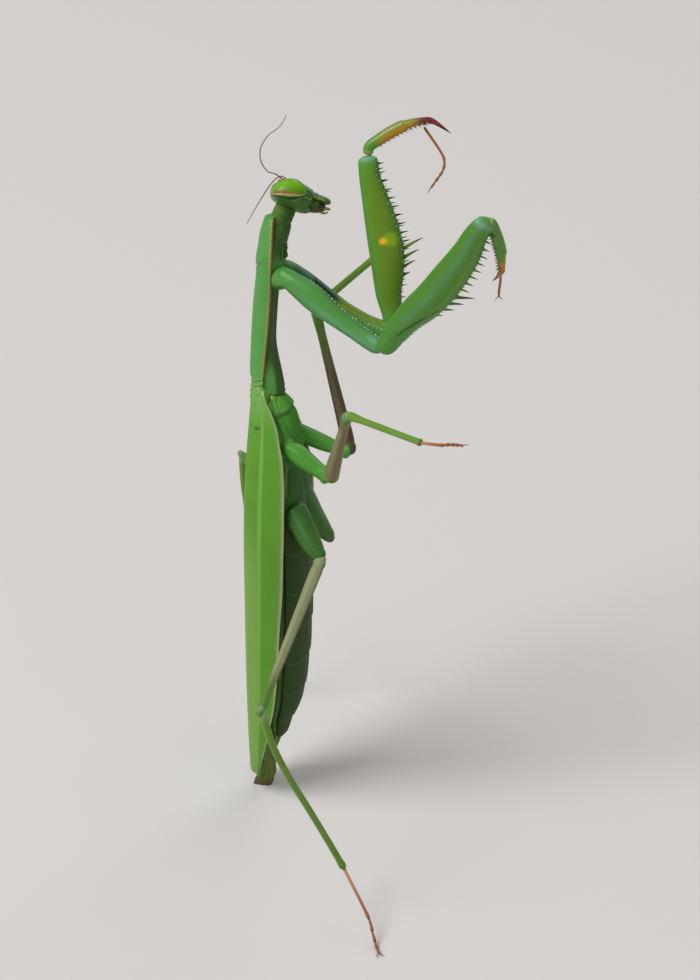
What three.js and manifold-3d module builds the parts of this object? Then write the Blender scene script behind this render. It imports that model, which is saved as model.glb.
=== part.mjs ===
// A praying mantis (a large green female) reared upright, life size, in millimetres.
// +Z runs from the wing tips up to the head, +X is the belly side and +Y is its left side.
// The origin is on the ground, under the folded hind wings. It stands on the tips of those
// wings and on its two hind feet, and its other four legs are in the air.
import * as THREE from 'three';
import { mergeVertices } from 'three/addons/utils/BufferGeometryUtils.js';
import Module from 'manifold-3d';

const wasm = await Module();
wasm.setup();

// ---- driving dimensions ---------------------------------------------------------------------
const GAP = 0.04;            // clearance between neighbouring pieces
const SPINE_SIDES = 3;
const LIMB_SIDES = 8;
const SHANK_SIDES = 6;
const TARSUS_SIDES = 6;

const V = (x, y, z) => new THREE.Vector3(x, y, z);

// The trunk leans a little to its left above the hips: the middle of each level, from the tip of
// the abdomen up to the neck.
const TRUNK_LEAN = through([[30, 0], [37, 0.4], [44, 1.2], [46, 1.6], [54, 3.9], [62, 6.3]]);

const THORAX_TOP = V(-0.65, 6.35, 61.9);    // front end of the prothorax
const THORAX_FOOT = V(0.02, 1.38, 45.0);    // its hind end over the wing-bearing thorax
const THORAX_BELLY = V(0.996, 0.086, 0);    // the way its underside faces
const HEAD_MIDDLE = V(0.32, 7.4, 63.98);     // midway between the eyes
const HEAD_ROLL = 30;                       // degrees: right eye raised,
const HEAD_YAW = 20;                        // mouth turned to the left,
const HEAD_PITCH = 12;                      // and mouth lowered

const FORE_LEGS = {
  right: {
    base: V(1.35, 3.2, 57.2), trochanter: V(12.2, 1.8, 52.0), knee: V(22.1, 2.4, 66.9),
    claw: V(22.7, 4.9, 60.5), clawTip: V(21.6, 5.9, 58.8),
    tarsus: [V(22.9, 4.4, 61.2), V(22.3, 6.2, 58.8), V(21.8, 7.4, 57.1), V(21.6, 8.0, 56.1)],
  },
  left: {
    base: V(0.9, 6.6, 55.8), trochanter: V(11.7, 5.6, 51.4), knee: V(7.3, 10.5, 67.7),
    claw: V(12.9, 12.9, 71.1), clawTip: V(15.0, 12.6, 70.3),
    tarsus: [V(12.0, 13.3, 70.2), V(13.9, 13.0, 67.9), V(14.3, 12.8, 67.1), V(14.2, 12.6, 66.2),
      V(13.7, 12.5, 65.3), V(13.1, 12.4, 64.3)],
  },
};
const WALKING_LEGS = {
  mid_right: {
    base: V(3.3, -1.5, 41.5), coxa: V(8.1, -2.2, 38.9), knee: V(12.2, -8.7, 50.0),
    ankle: V(21.3, -13.7, 51.4),
    tarsus: [V(21.3, -13.7, 51.4), V(23.6, -15.0, 52.3), V(24.8, -15.6, 52.9), V(26.2, -16.4, 53.5)],
    thick: [1.0, 0.76, 0.52, 0.33],
  },
  mid_left: {
    base: V(3.3, 2.9, 40.0), coxa: V(8.1, 3.4, 38.8), knee: V(1.7, 10.7, 50.0),
    ankle: V(6.2, 19.6, 53.4),
    tarsus: [V(6.2, 19.6, 53.4), V(5.2, 22.0, 54.0), V(4.5, 23.4, 54.2), V(3.6, 25.0, 54.3)],
    thick: [0.88, 0.66, 0.5, 0.36],
  },
  hind_right: {
    base: V(4.5, -2.1, 33.5), coxa: V(7.6, -3.6, 30.4), knee: V(8.15, -21.9, 23.7),
    ankle: V(14.9, -17.2, 4.3),
    tarsus: [V(14.9, -17.2, 4.3), V(18.8, -20.9, 1.8), V(19.7, -22.1, 0.9), V(20.3, -22.9, 0.26),
      V(21.0, -24.0, 0.23)],
    thick: [1.25, 0.60, 0.45, 0.33],
  },
  hind_left: {
    base: V(3.4, 2.0, 33.5), coxa: V(6.0, 3.2, 28.7), knee: V(-8.7, 16.6, 28.3),
    ankle: V(-4.6, 14.5, 7.8),
    tarsus: [V(-4.6, 14.5, 7.8), V(-4.1, 16.0, 3.6), V(-3.8, 16.9, 1.5), V(-3.5, 17.9, 0.26),
      V(-3.1, 19.1, 0.22)],
    thick: [1.25, 0.60, 0.45, 0.33],
  },
};

const COLOURS = {
  leaf: 0x4f9b2f, jade: 0x4aa548, wing: 0x5f9f24, belly: 0x3f6e2c, brown: 0x96765a,
  tarsus: 0x9a6040, eye: 0x76b82a, horn: 0x5a2016, feeler: 0x9c5a34, palp: 0xb7b24a, hindwing: 0x6b6f2c,
};

// ---- geometry helpers -----------------------------------------------------------------------

/** A smooth value through [place, value] pairs in rising order, held level past both ends. */
function through(pairs) {
  const slope = pairs.map((pair, i) => {
    const before = pairs[Math.max(i - 1, 0)];
    const after = pairs[Math.min(i + 1, pairs.length - 1)];
    return (after[1] - before[1]) / (after[0] - before[0]);
  });
  return (place) => {
    if (place <= pairs[0][0]) return pairs[0][1];
    for (let i = 1; i < pairs.length; i += 1) {
      const [x1, y1] = pairs[i];
      if (place <= x1) {
        const [x0, y0] = pairs[i - 1];
        const span = x1 - x0;
        const t = (place - x0) / span;
        const rise = t * t * (3 - 2 * t);
        const ease = t * (1 - t) * ((1 - t) * slope[i - 1] - t * slope[i]) * span;
        return y0 + rise * (y1 - y0) + ease;
      }
    }
    return pairs[pairs.length - 1][1];
  };
}

/** A manifold from a three.js geometry whose corners have been moved, turned right side out. */
function solid(geometry) {
  const place = geometry.attributes.position;
  const triangles = Uint32Array.from(geometry.index.array);
  const [p, q, r] = [V(0, 0, 0), V(0, 0, 0), V(0, 0, 0)];
  const middle = V(0, 0, 0);
  for (let i = 0; i < place.count; i += 1) {
    middle.add(p.fromBufferAttribute(place, i));
  }
  middle.divideScalar(place.count);
  let volume = 0;
  for (let i = 0; i < triangles.length; i += 3) {
    [p, q, r].forEach((corner, k) => corner.fromBufferAttribute(place, triangles[i + k]).sub(middle));
    volume += p.dot(q.cross(r));
  }
  for (let i = 0; i < triangles.length && volume < 0; i += 3) {
    [triangles[i], triangles[i + 1]] = [triangles[i + 1], triangles[i]];
  }
  const mesh = new wasm.Mesh({ numProp: 3, vertProperties: Float32Array.from(place.array),
    triVerts: triangles });
  return new wasm.Manifold(mesh);
}

/** A three.js geometry with only its corners, each of them once. */
function corners(geometry) {
  return mergeVertices(geometry.deleteAttribute('normal').deleteAttribute('uv'));
}

/** A closed solid through rings of equally many points: a cylinder whose rows are moved there. */
function loft(rings) {
  const sides = rings[0].length;
  const rows = rings.length - 1;
  const form = corners(new THREE.CylinderGeometry(1, 1, rows, sides, rows));
  const place = form.attributes.position;
  for (let i = 0; i < place.count; i += 1) {
    const ring = rings[Math.round(rows / 2 - place.getY(i))];
    const turn = Math.atan2(place.getX(i), place.getZ(i)) / (2 * Math.PI);
    const rim = Math.hypot(place.getX(i), place.getZ(i)) > 0.5;
    const middle = ring.reduce((sum, p) => sum.add(p), V(0, 0, 0)).divideScalar(sides);
    const point = rim ? ring[(Math.round(turn * sides) + sides) % sides] : middle;
    place.setXYZ(i, point.x, point.y, point.z);
  }
  return solid(form);
}

/** One oval ring: centre, the two half axes as vectors, and how square it is (1 = ellipse). */
function oval(centre, across, deep, sides, square = 1) {
  return Array.from({ length: sides }, (_, j) => {
    const angle = (2 * Math.PI * (j + 0.5)) / sides;
    const c = Math.cos(angle);
    const s = Math.sin(angle);
    const u = Math.sign(c) * Math.abs(c) ** square;
    const v = Math.sign(s) * Math.abs(s) ** square;
    return centre.clone().addScaledVector(across, u).addScaledVector(deep, v);
  });
}

/** Directions at each point of a path: along it, across it, and towards its back. */
function frames(path, back) {
  return path.map((p, i) => {
    const along = path[Math.min(i + 1, path.length - 1)].clone().sub(path[Math.max(i - 1, 0)]);
    along.normalize();
    const across = along.clone().cross(back).normalize();
    return { along, across, back: across.clone().cross(along).normalize() };
  });
}

/** A solid of oval rings along a path. sizes(i) gives [half width, half depth] at point i. */
function sweep(path, sizes, back, sides, square = 1) {
  const turns = frames(path, back);
  return loft(path.map((p, i) => {
    const [wide, deep] = sizes(i);
    return oval(p, turns[i].across.multiplyScalar(wide), turns[i].back.multiplyScalar(deep),
      sides, square);
  }));
}

/** A limb segment from one joint to the next. profile rows: [place 0..1, half width, half depth,
 *  shift towards the back]. grow thickens it all round, for cutting a neighbour clear of it. */
function segment(from, to, back, profile, { grow = 0, sides = LIMB_SIDES, square = 1 } = {}) {
  const axis = to.clone().sub(from);
  const length = axis.length();
  axis.divideScalar(length);
  const across = axis.clone().cross(back).normalize();
  const rear = across.clone().cross(axis);
  const last = profile.length - 1;
  return loft(profile.map(([place, wide, deep, shift = 0], i) => {
    const stretch = (i === last ? grow : 0) - (i === 0 ? grow : 0);
    const centre = from.clone().addScaledVector(axis, place * length + stretch)
      .addScaledVector(rear, shift);
    return oval(centre, across.clone().multiplyScalar(wide + grow),
      rear.clone().multiplyScalar(deep + grow), sides, square);
  }));
}

/** A pointed spine: a slim pyramid from its root to its tip. */
function spine(root, tip, radius) {
  const length = root.distanceTo(tip);
  const form = corners(new THREE.ConeGeometry(radius, length, SPINE_SIDES));
  const turn = new THREE.Quaternion().setFromUnitVectors(V(0, 1, 0), tip.clone().sub(root).normalize());
  form.applyQuaternion(turn);
  form.translate(...root.clone().add(tip).divideScalar(2).toArray());
  return solid(form);
}

/** A plain block between two corners, for trimming. */
function block(low, high) {
  const size = high.clone().sub(low);
  const form = corners(new THREE.BoxGeometry(size.x, size.y, size.z));
  form.translate(...low.clone().add(high).divideScalar(2).toArray());
  return solid(form);
}

/** The largest body of a cut solid, without the crumbs that a cut can leave. */
function main(cut) {
  const bodies = cut.decompose();
  return bodies.reduce((best, body) => (body.volume() > best.volume() ? body : best));
}

/** A shape without the space its neighbours need. */
const clearOf = (shape, rooms) => main(rooms.reduce((rest, room) => rest.subtract(room), shape));

/** Flat at the ground. */
const UNDERGROUND = block(V(-60, -60, -10), V(60, 60, 0));
const onGround = (shape) => main(shape.subtract(UNDERGROUND));

// ---- the object -----------------------------------------------------------------------------
const mantis = new THREE.Group();

/** A group set at a joint, for the pieces that hang from it. */
function jointAt(position, quaternion = new THREE.Quaternion()) {
  const group = new THREE.Group();
  group.position.copy(position);
  group.quaternion.copy(quaternion);
  group.updateMatrixWorld(true);
  mantis.add(group);
  return group;
}

/** Adds a finished solid as one named mesh, measured from the joint that it hangs from. */
function add(name, shape, colour, parent = mantis, roughness = 0.45) {
  const { vertProperties, triVerts } = shape.getMesh();
  const geometry = new THREE.BufferGeometry();
  geometry.setAttribute('position', new THREE.BufferAttribute(Float32Array.from(vertProperties), 3));
  geometry.setIndex(new THREE.BufferAttribute(Uint32Array.from(triVerts), 1));
  geometry.applyMatrix4(parent.matrixWorld.clone().invert());
  geometry.computeVertexNormals();
  const material = new THREE.MeshStandardMaterial({ color: colour, roughness, metalness: 0 });
  const mesh = new THREE.Mesh(geometry, material);
  mesh.name = name;
  parent.add(mesh);
}

// ---- trunk: rings in level planes, from the tip of the abdomen up to the prothorax -----------
const TRUNK_SIDES = 14;

/** The trunk's rings at a list of heights. back, belly and halfWidth are functions of height. */
function trunk(levels, { back, belly, halfWidth }, grow = 0, square = 0.85) {
  return loft(levels.map((z, i) => {
    const end = (i === levels.length - 1 ? grow : 0) - (i === 0 ? grow : 0);
    const deep = (belly(z) - back(z)) / 2 + grow;
    const centre = V((belly(z) + back(z)) / 2, TRUNK_LEAN(z), z + end);
    return oval(centre, V(0, halfWidth(z) + grow, 0), V(deep, 0, 0), TRUNK_SIDES, square);
  }));
}

const ABDOMEN = {
  back: through([[6.2, 0.9], [8, 0.5], [14, 0.4], [33, 0.4]]),
  belly: through([[6.2, 2.05], [7, 2.5], [8.7, 3.05], [11, 3.95], [15.5, 4.6], [21, 4.95], [27, 5.0],
    [33, 4.6]]),
  halfWidth: through([[6.2, 0.9], [7, 1.6], [8.7, 2.3], [11, 2.9], [15.5, 3.25], [21, 3.4],
    [27, 3.45], [33, 3.3]]),
};
const ABDOMEN_JOINTS = [6.2, 9.2, 12.8, 16.6, 20.6, 24.9, 29.3, 33.0];   // segment borders
const SEGMENT_TUCK = 0.14;       // how far each plate steps in under the one ahead of it

/** One ring of the abdomen: a plate that flares a little towards its rear edge. */
function abdomenPlate(index) {
  const low = ABDOMEN_JOINTS[index] + GAP / 2;
  const high = ABDOMEN_JOINTS[index + 1] - GAP / 2;
  const tuck = (z) => SEGMENT_TUCK * ((z - low) / (high - low)) ** 2;
  const plate = {
    back: ABDOMEN.back,
    belly: (z) => ABDOMEN.belly(z) - tuck(z),
    halfWidth: (z) => ABDOMEN.halfWidth(z) - tuck(z),
  };
  const steps = index === 0 ? [0, 0.25, 0.55, 1] : [0, 0.5, 1];
  return trunk(steps.map((t) => low + t * (high - low)), plate);
}
for (let i = 0; i + 1 < ABDOMEN_JOINTS.length; i += 1) {
  const number = ABDOMEN_JOINTS.length - 1 - i;
  add(`abdomen_${number}`, abdomenPlate(i), COLOURS.belly);
}

const CERCUS_ROOT = V(1.6, 1.1, 8.0);
const CERCUS_TIP = V(1.5, 1.85, 6.3);
for (const [side, turn] of [['right', -1], ['left', 1]]) {
  const mirror = (p) => V(p.x, p.y * turn, p.z);
  const cercus = segment(mirror(CERCUS_ROOT), mirror(CERCUS_TIP), V(1, 0, 0),
    [[0, 0.3, 0.3], [0.3, 0.34, 0.34], [0.75, 0.28, 0.28], [1, 0.12, 0.12]], { sides: 6 });
  add(`cercus_${side}`, clearOf(cercus, [trunk([6.2, 6.95, 7.85, 9.2], ABDOMEN, GAP)]), COLOURS.belly);
}

const THORAX = {
  back: through([[33, 0.42], [41.6, 0.42], [43, 0], [43.5, -0.1], [45.4, -0.1]]),
  belly: through([[33, 4.7], [35.5, 4.6], [38, 4.0], [40.5, 3.75], [42.3, 3.45], [43.5, 3.05], [45.4, 2.2]]),
  halfWidth: through([[33, 3.25], [36, 3.3], [38, 3.1], [40, 2.72], [43.5, 1.75], [45.4, 1.35]]),
};
const METATHORAX_LEVELS = [33.02, 34.6, 36, 37.6];
const MESOTHORAX_LEVELS = [37.64, 39.5, 41.5, 43.5, 45.4];

// ---- prothorax: a roofed shield above and a narrower underside -------------------------------
const thoraxAxis = THORAX_TOP.clone().sub(THORAX_FOOT);
const THORAX_LENGTH = thoraxAxis.length();
thoraxAxis.divideScalar(THORAX_LENGTH);
const thoraxLeft = thoraxAxis.clone().cross(THORAX_BELLY).normalize();
const thoraxBelly = thoraxLeft.clone().cross(thoraxAxis);
const SHIELD_SIDES = 14;

// By place from the hind edge (0) to the front edge (1): half width of the shield, height of its
// roof over the side margins, depth of the underside, and how far it all arches to the belly side.
const SHIELD = {
  width: through([[0, 1.1], [0.04, 1.6], [0.12, 1.72], [0.45, 1.6], [0.66, 1.95], [0.76, 2.3],
    [0.86, 2.05], [0.95, 1.5], [1, 0.8]]),
  roof: through([[0, 1.2], [0.06, 1.6], [0.25, 1.85], [0.5, 1.97], [0.68, 1.88], [0.75, 2.02],
    [0.82, 1.85], [0.9, 1.5], [1, 0.65]]),
  underside: through([[0, 1.9], [0.06, 1.7], [0.13, 1.35], [0.2, 0.95], [0.3, 0.5], [0.42, 0.38],
    [0.6, 0.4], [0.72, 0.8], [0.82, 0.78], [0.88, 1.05], [0.95, 1.35], [1, 1.15]]),
  undersideWidth: through([[0, 1.2], [0.15, 1.35], [0.3, 1.1], [0.6, 1.1], [0.76, 1.7], [0.9, 1.4],
    [1, 0.8]]),
  arch: through([[0, 0.05], [0.3, 0.2], [0.55, 0.3], [0.8, 0.33], [1, 0.1]]),
};
const SHIELD_PLACES = [0, 0.02, 0.06, 0.15, 0.3, 0.45, 0.58, 0.66, 0.71, 0.76, 0.83, 0.9, 0.96, 1];
const UNDERSIDE_PLACES = [-0.01, 0.07, 0.18, 0.3, 0.5, 0.62, 0.72, 0.82, 0.93, 0.985];

/** A half-oval column along the prothorax, flat where roof and underside meet. side is -1 for the
 *  roof over the back and 1 for the underside. */
function halfColumn(places, width, depth, side, grow = 0) {
  return loft(places.map((place, i) => {
    const stretch = (i === places.length - 1 ? grow : 0) - (i === 0 ? grow : 0);
    const centre = THORAX_FOOT.clone().addScaledVector(thoraxAxis, place * THORAX_LENGTH + stretch)
      .addScaledVector(thoraxBelly, SHIELD.arch(place) + side * (GAP / 2));
    return Array.from({ length: SHIELD_SIDES }, (_, j) => {
      const angle = (2 * Math.PI * j) / SHIELD_SIDES;
      const rim = Math.sin(angle) > -0.01;
      const u = Math.cos(angle) * (width(place) + grow);
      const v = rim ? side * Math.sin(angle) * (depth(place) + grow) : -side * grow;
      return centre.clone().addScaledVector(thoraxLeft, u).addScaledVector(thoraxBelly, v);
    });
  }));
}
const shield = (grow = 0) => halfColumn(SHIELD_PLACES, SHIELD.width, SHIELD.roof, -1, grow);
const underside = (grow = 0) => halfColumn(UNDERSIDE_PLACES, SHIELD.undersideWidth,
  SHIELD.underside, 1, grow);

const pronotum = shield();
const pronotumRoom = shield(GAP);
const sternum = underside();
const sternumRoom = underside(GAP);
add('pronotum', pronotum, COLOURS.jade);
add('prothorax_underside', sternum, COLOURS.belly);

const mesothorax = main(trunk(MESOTHORAX_LEVELS, THORAX).subtract(pronotumRoom)
  .subtract(sternumRoom));
const mesothoraxRoom = trunk(MESOTHORAX_LEVELS, THORAX, GAP);
const metathorax = trunk(METATHORAX_LEVELS, THORAX);
const metathoraxRoom = trunk(METATHORAX_LEVELS, THORAX, GAP);
add('mesothorax', mesothorax, COLOURS.leaf);
add('metathorax', metathorax, COLOURS.leaf);

// ---- wings: leathery fore wings wrapped over the back, thin hind wings folded under them -----
const WING_THICK = 0.5;
const WING_LEVELS = [44.9, 43.6, 41.8, 39.5, 36.5, 32, 26, 20, 14, 9.5, 6.2, 4.2, 2.8, 2];
const WING_CORNER = through([[2, 1.35], [2.8, 2.1], [4.2, 2.7], [6.2, 3.05], [10, 3.4], [15, 3.7],
  [25, 3.9], [35, 3.9], [40, 3.4], [43, 2.7], [45, 2.15]]);
const COSTAL_EDGE = through([[2, 0.1], [2.8, 0.3], [4.8, 0.9], [8.3, 1.75], [12.3, 2.6], [17, 3.07],
  [21.5, 3.35], [26, 3.7], [30.5, 3.85], [33.4, 3.87], [36.8, 3.78], [38.5, 3.62], [40.2, 3.35],
  [41.5, 2.92], [43, 2.42], [44.5, 1.55], [45, 1.1]]);
// How far the left wing's costal edge stays back, hidden behind the thorax.
const LEFT_WING_TUCK = through([[36, 0], [38.5, 0.4], [41.5, 0.7], [43, 1.1], [45, 1.25]]);
const WING_OVERLAP = through([[2, 0.3], [6, 0.45], [38, 0.45], [42, 0.1], [43, -0.2], [45, -0.7]]);
const UPPER_ROOF = through([[-1, -1.31], [0.9, -1.29], [1.8, -1.1], [2.6, -0.82], [3.6, -0.35]]);
const LOWER_ROOF = through([[-1, -0.76], [0.9, -0.76], [1.6, -0.85], [2.6, -0.72], [3.6, -0.3]]);

/** One fore wing: a plate across the back, a rounded shoulder and a wall down the flank. turn is
 *  -1 on the right and 1 on the left, roof is the level of its back by distance outwards, and room
 *  thickens the wall inwards and past its edge, for cutting a leg clear of it. */
function foreWing(turn, roof, room = 0) {
  return loft(WING_LEVELS.map((z) => {
    const corner = WING_CORNER(z);
    const edge = COSTAL_EDGE(z) - (turn > 0 ? LEFT_WING_TUCK(z) : 0) + room;
    const inner = -WING_OVERLAP(z);
    const spread = corner / 3.9;
    const wall = Math.min(0.35, edge - 0.15);
    const shoulder = corner - 0.45;
    const across = [inner, inner + (shoulder - inner) * 0.3, inner + (shoulder - inner) * 0.6,
      shoulder];
    const outer = across.map((y) => [roof(y / Math.max(spread, 0.6)), y]);
    outer.push([wall, corner], [(wall + edge) / 2, corner + 0.18], [edge, corner + 0.28]);
    const under = [...across.slice(0, 3).map((y) => [roof(y / Math.max(spread, 0.6)) + WING_THICK, y]),
      [0.1, shoulder - 0.2], [wall + 0.15, corner - 0.5 - room],
      [(wall + edge) / 2, corner - 0.3 - room], [edge, corner - 0.22 - room]];
    const ring = [...outer, ...under.reverse()];
    return ring.map(([x, y]) => V(x, TRUNK_LEAN(z) + turn * y, z));
  }));
}
const wingRooms = { right: foreWing(-1, LOWER_ROOF, GAP), left: foreWing(1, UPPER_ROOF, GAP) };
add('tegmen_right', clearOf(foreWing(-1, LOWER_ROOF), [pronotumRoom]), COLOURS.wing);
add('tegmen_left', clearOf(foreWing(1, UPPER_ROOF), [pronotumRoom, sternumRoom]), COLOURS.wing);

const HIND_WING_LEVELS = [0, 0.5, 1.5, 3, 5, 8, 12.5, 20, 30, 38, 41.5];
const HIND_WING_WIDTH = through([[0, 0.75], [2, 0.42], [2.8, 0.8], [4.2, 1.4], [6, 1.95], [9, 2.45],
  [12, 2.75], [14, 2.85], [38, 2.85], [41.5, 2.0]]);
const HIND_WING_THICK = through([[0, 1.65], [1.5, 1.5], [3, 1.2], [5, 0.8], [7, 0.52], [9, 0.52],
  [42, 0.52]]);
const HIND_WING_SPLIT = through([[0, 0.25], [1.5, 0.12], [3, 0], [6, 0], [42, 0]]);
const HIND_WING_BACK = through([[0, -1.1], [0.8, -0.85], [1.6, -0.2], [2.4, -0.2], [42, -0.2]]);

/** One hind wing, folded like a fan into a blade that ends on the ground. */
function hindWing(turn) {
  return loft(HIND_WING_LEVELS.map((z) => {
    const back = HIND_WING_BACK(z);
    const thick = HIND_WING_THICK(z);
    const wide = HIND_WING_WIDTH(z);
    const droop = 0.16 * wide;
    const middle = HIND_WING_SPLIT(z) + TRUNK_LEAN(z);
    const rows = [[back, GAP / 2], [back, wide * 0.5], [back + droop * 0.25, wide * 0.75],
      [back + droop, wide], [back + droop + thick * 0.5, wide * 0.97],
      [back + droop * 0.25 + thick, wide * 0.7], [back + thick, wide * 0.5], [back + thick, GAP / 2]];
    return rows.map(([x, y]) => V(x, middle + turn * y, z));
  }));
}
add('hind_wing_right', hindWing(-1), COLOURS.hindwing);
add('hind_wing_left', hindWing(1), COLOURS.hindwing);

// ---- head -----------------------------------------------------------------------------------
const roll = THREE.MathUtils.degToRad(HEAD_ROLL);
const yaw = THREE.MathUtils.degToRad(HEAD_YAW);
const pitch = THREE.MathUtils.degToRad(HEAD_PITCH);
const headRight = V(Math.sin(yaw) * Math.cos(roll), -Math.cos(yaw) * Math.cos(roll), Math.sin(roll));
const level = V(Math.cos(yaw), Math.sin(yaw), 0);
const rise = headRight.clone().cross(level);
const headMouth = level.clone().multiplyScalar(Math.cos(pitch)).addScaledVector(rise, -Math.sin(pitch));
const headFace = headMouth.clone().cross(headRight).multiplyScalar(-1);

const headTurn = new THREE.Quaternion().setFromRotationMatrix(
  new THREE.Matrix4().makeBasis(headRight, headMouth, headFace.clone().multiplyScalar(-1)));
const headJoint = jointAt(HEAD_MIDDLE, headTurn);

/** A point by its place in the head: towards its right side, its mouth and its face. */
function inHead(right, mouth, face) {
  return HEAD_MIDDLE.clone().addScaledVector(headRight, right).addScaledVector(headMouth, mouth)
    .addScaledVector(headFace, face);
}
const HEAD_SIDES = 12;

/** Rings across the head. rows: [towards the mouth, half width, half depth, face offset]. */
function headRings(rows, { grow = 0, square = 0.9, sides = HEAD_SIDES } = {}) {
  return loft(rows.map(([mouth, wide, deep, face], i) => {
    const stretch = (i === rows.length - 1 ? grow : 0) - (i === 0 ? grow : 0);
    return oval(inHead(0, mouth + stretch, face), headRight.clone().multiplyScalar(wide + grow),
      headFace.clone().multiplyScalar(deep + grow), sides, square);
  }));
}

const CAPSULE = [[-1.78, 1.5, 0.3, -0.25], [-1.62, 2.2, 0.62, -0.25], [-1.25, 2.75, 0.95, -0.22],
  [-0.6, 2.85, 1.2, -0.2], [0.1, 2.7, 1.28, -0.22], [0.8, 2.35, 1.32, -0.34],
  [1.4, 1.95, 1.27, -0.47], [2.0, 1.6, 1.13, -0.55], [2.45, 1.35, 0.97, -0.5]];
const EYE_AT = 2.72;
const EYE_SIZE = [1.2, 1.69];              // half sizes outwards and along the head
const EYE_RISE = 1.4;                      // its height on the side of the face,
const EYE_DROP = 0.86;                     // and on the side of the nape
const EYE_SINK = 0.27;                     // its middle lies this far behind the head's
const EYE_TAPER = 0.1;
const EYE_TILT = THREE.MathUtils.degToRad(14);
const EYE_SIDES = 12;
const EYE_ROWS = 8;

/** A compound eye: an egg standing out from the upper corner of the head. */
function eye(turn, grow = 0) {
  const form = corners(new THREE.SphereGeometry(1, EYE_SIDES, EYE_ROWS));
  const place = form.attributes.position;
  for (let i = 0; i < place.count; i += 1) {
    const out = place.getX(i) * (EYE_SIZE[0] + grow);
    const long = place.getY(i) * (EYE_SIZE[1] + grow);
    const height = (place.getZ(i) > 0 ? EYE_RISE : EYE_DROP) * (1 + EYE_TAPER * place.getY(i));
    const deep = place.getZ(i) * (height + grow) - EYE_SINK;
    const point = inHead(turn * EYE_AT + out, long * Math.cos(EYE_TILT) - deep * Math.sin(EYE_TILT),
      long * Math.sin(EYE_TILT) + deep * Math.cos(EYE_TILT));
    place.setXYZ(i, point.x, point.y, point.z);
  }
  return solid(form);
}

/** A small oval bead on the head. */
function bead(at, size) {
  const axis = headFace.clone();
  const low = inHead(...at).addScaledVector(axis, -size);
  const high = inHead(...at).addScaledVector(axis, size);
  return segment(low, high, headMouth, [[0, size * 0.8, size * 0.8], [0.6, size, size],
    [1, size * 0.4, size * 0.4]], { sides: 5 });
}

const CLYPEUS = [[2.49, 1.2, 0.42, 0.08], [2.9, 1.1, 0.42, 0], [3.4, 0.95, 0.38, -0.1],
  [3.85, 0.75, 0.32, -0.12], [4.2, 0.45, 0.18, -0.18]];
const SHIELD_PLATE = [[0.75, 0.5, 0.2, 0.9], [0.95, 0.9, 0.24, 0.84], [1.5, 1.0, 0.24, 0.68],
  [2.1, 0.9, 0.2, 0.45]];
const capsuleRoom = headRings(CAPSULE, { grow: GAP });
let capsule = headRings(CAPSULE);
capsule = capsule.add(headRings(SHIELD_PLATE, { sides: 10 }));
for (const at of [[0, -0.72, 0.98], [0.42, -1.12, 0.8], [-0.42, -1.12, 0.8]]) {
  capsule = capsule.add(bead(at, 0.2));
}
for (const turn of [-1, 1]) {
  capsule = capsule.add(bead([turn * 0.62, -0.25, 1.0], 0.36));
}
const clypeus = headRings(CLYPEUS, { sides: 10 });

const MANDIBLE = [[2.2, 0.52, 0.3], [2.7, 0.54, 0.3], [3.3, 0.46, 0.28], [3.75, 0.26, 0.2]];
const JAW_SIDE = 0.57;       // how far a jaw lies from the middle of the head,
const JAW_DEPTH = 0.66;      // and behind its face

/** A jaw at one side of the mouth. */
function mandible(turn, grow = 0) {
  return loft(MANDIBLE.map(([mouth, wide, deep], i) => {
    const stretch = i === MANDIBLE.length - 1 ? grow : 0;
    return oval(inHead(turn * JAW_SIDE, mouth + stretch, -JAW_DEPTH),
      headRight.clone().multiplyScalar(wide + grow), headFace.clone().multiplyScalar(deep + grow), 8);
  }));
}
const capsuleAndMouth = [capsuleRoom, headRings(CLYPEUS, { grow: GAP, sides: 10 })];
for (const [side, turn] of [['right', 1], ['left', -1]]) {
  capsule = capsule.subtract(eye(turn, GAP));
  add(`eye_${side}`, eye(turn), COLOURS.eye, headJoint, 0.12);
}
add('head', main(capsule), COLOURS.leaf, headJoint);
add('labrum', clypeus, COLOURS.leaf, headJoint);
for (const [side, turn] of [['right', 1], ['left', -1]]) {
  add(`mandible_${side}`, clearOf(mandible(turn), capsuleAndMouth), COLOURS.horn, headJoint);
}

/** A tube through points, with a radius at each of them. */
function tube(points, radii, { sides = TARSUS_SIDES, steps = points.length } = {}) {
  const curve = new THREE.CatmullRomCurve3(points, false, 'centripetal');
  const path = Array.from({ length: steps }, (_, i) => curve.getPoint(i / (steps - 1)));
  const size = through(radii.map((radius, i) => [i / (radii.length - 1), radius]));
  const chord = points[points.length - 1].clone().sub(points[0]).normalize();
  const back = Math.abs(chord.z) < 0.8 ? V(0, 0, 1) : V(1, 0, 0);
  return sweep(path, (i) => [size(i / (steps - 1)), size(i / (steps - 1))], back, sides);
}

const LABIUM = [[1.95, 0.55, 0.24, -1.3], [2.4, 0.85, 0.26, -1.24], [3.0, 0.78, 0.26, -1.16],
  [3.7, 0.5, 0.2, -1.04]];
const jawRooms = [...capsuleAndMouth, mandible(-1, GAP), mandible(1, GAP)];
const labium = clearOf(headRings(LABIUM, { sides: 8 }), jawRooms);
const labiumRoom = headRings(LABIUM, { sides: 8, grow: GAP });
add('labium', labium, COLOURS.leaf, headJoint);
for (const [side, turn] of [['right', 1], ['left', -1]]) {
  const palp = tube([inHead(turn * 1.2, 2.0, -1.0), inHead(turn * 1.5, 2.6, -1.15),
    inHead(turn * 1.45, 3.3, -1.05), inHead(turn * 1.15, 3.9, -0.8), inHead(turn * 0.95, 4.25, -0.8)],
  [0.26, 0.25, 0.25, 0.26, 0.2], { sides: 5 });
  add(`palp_${side}`, clearOf(palp, [...jawRooms, labiumRoom]), COLOURS.palp, headJoint);
}

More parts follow.
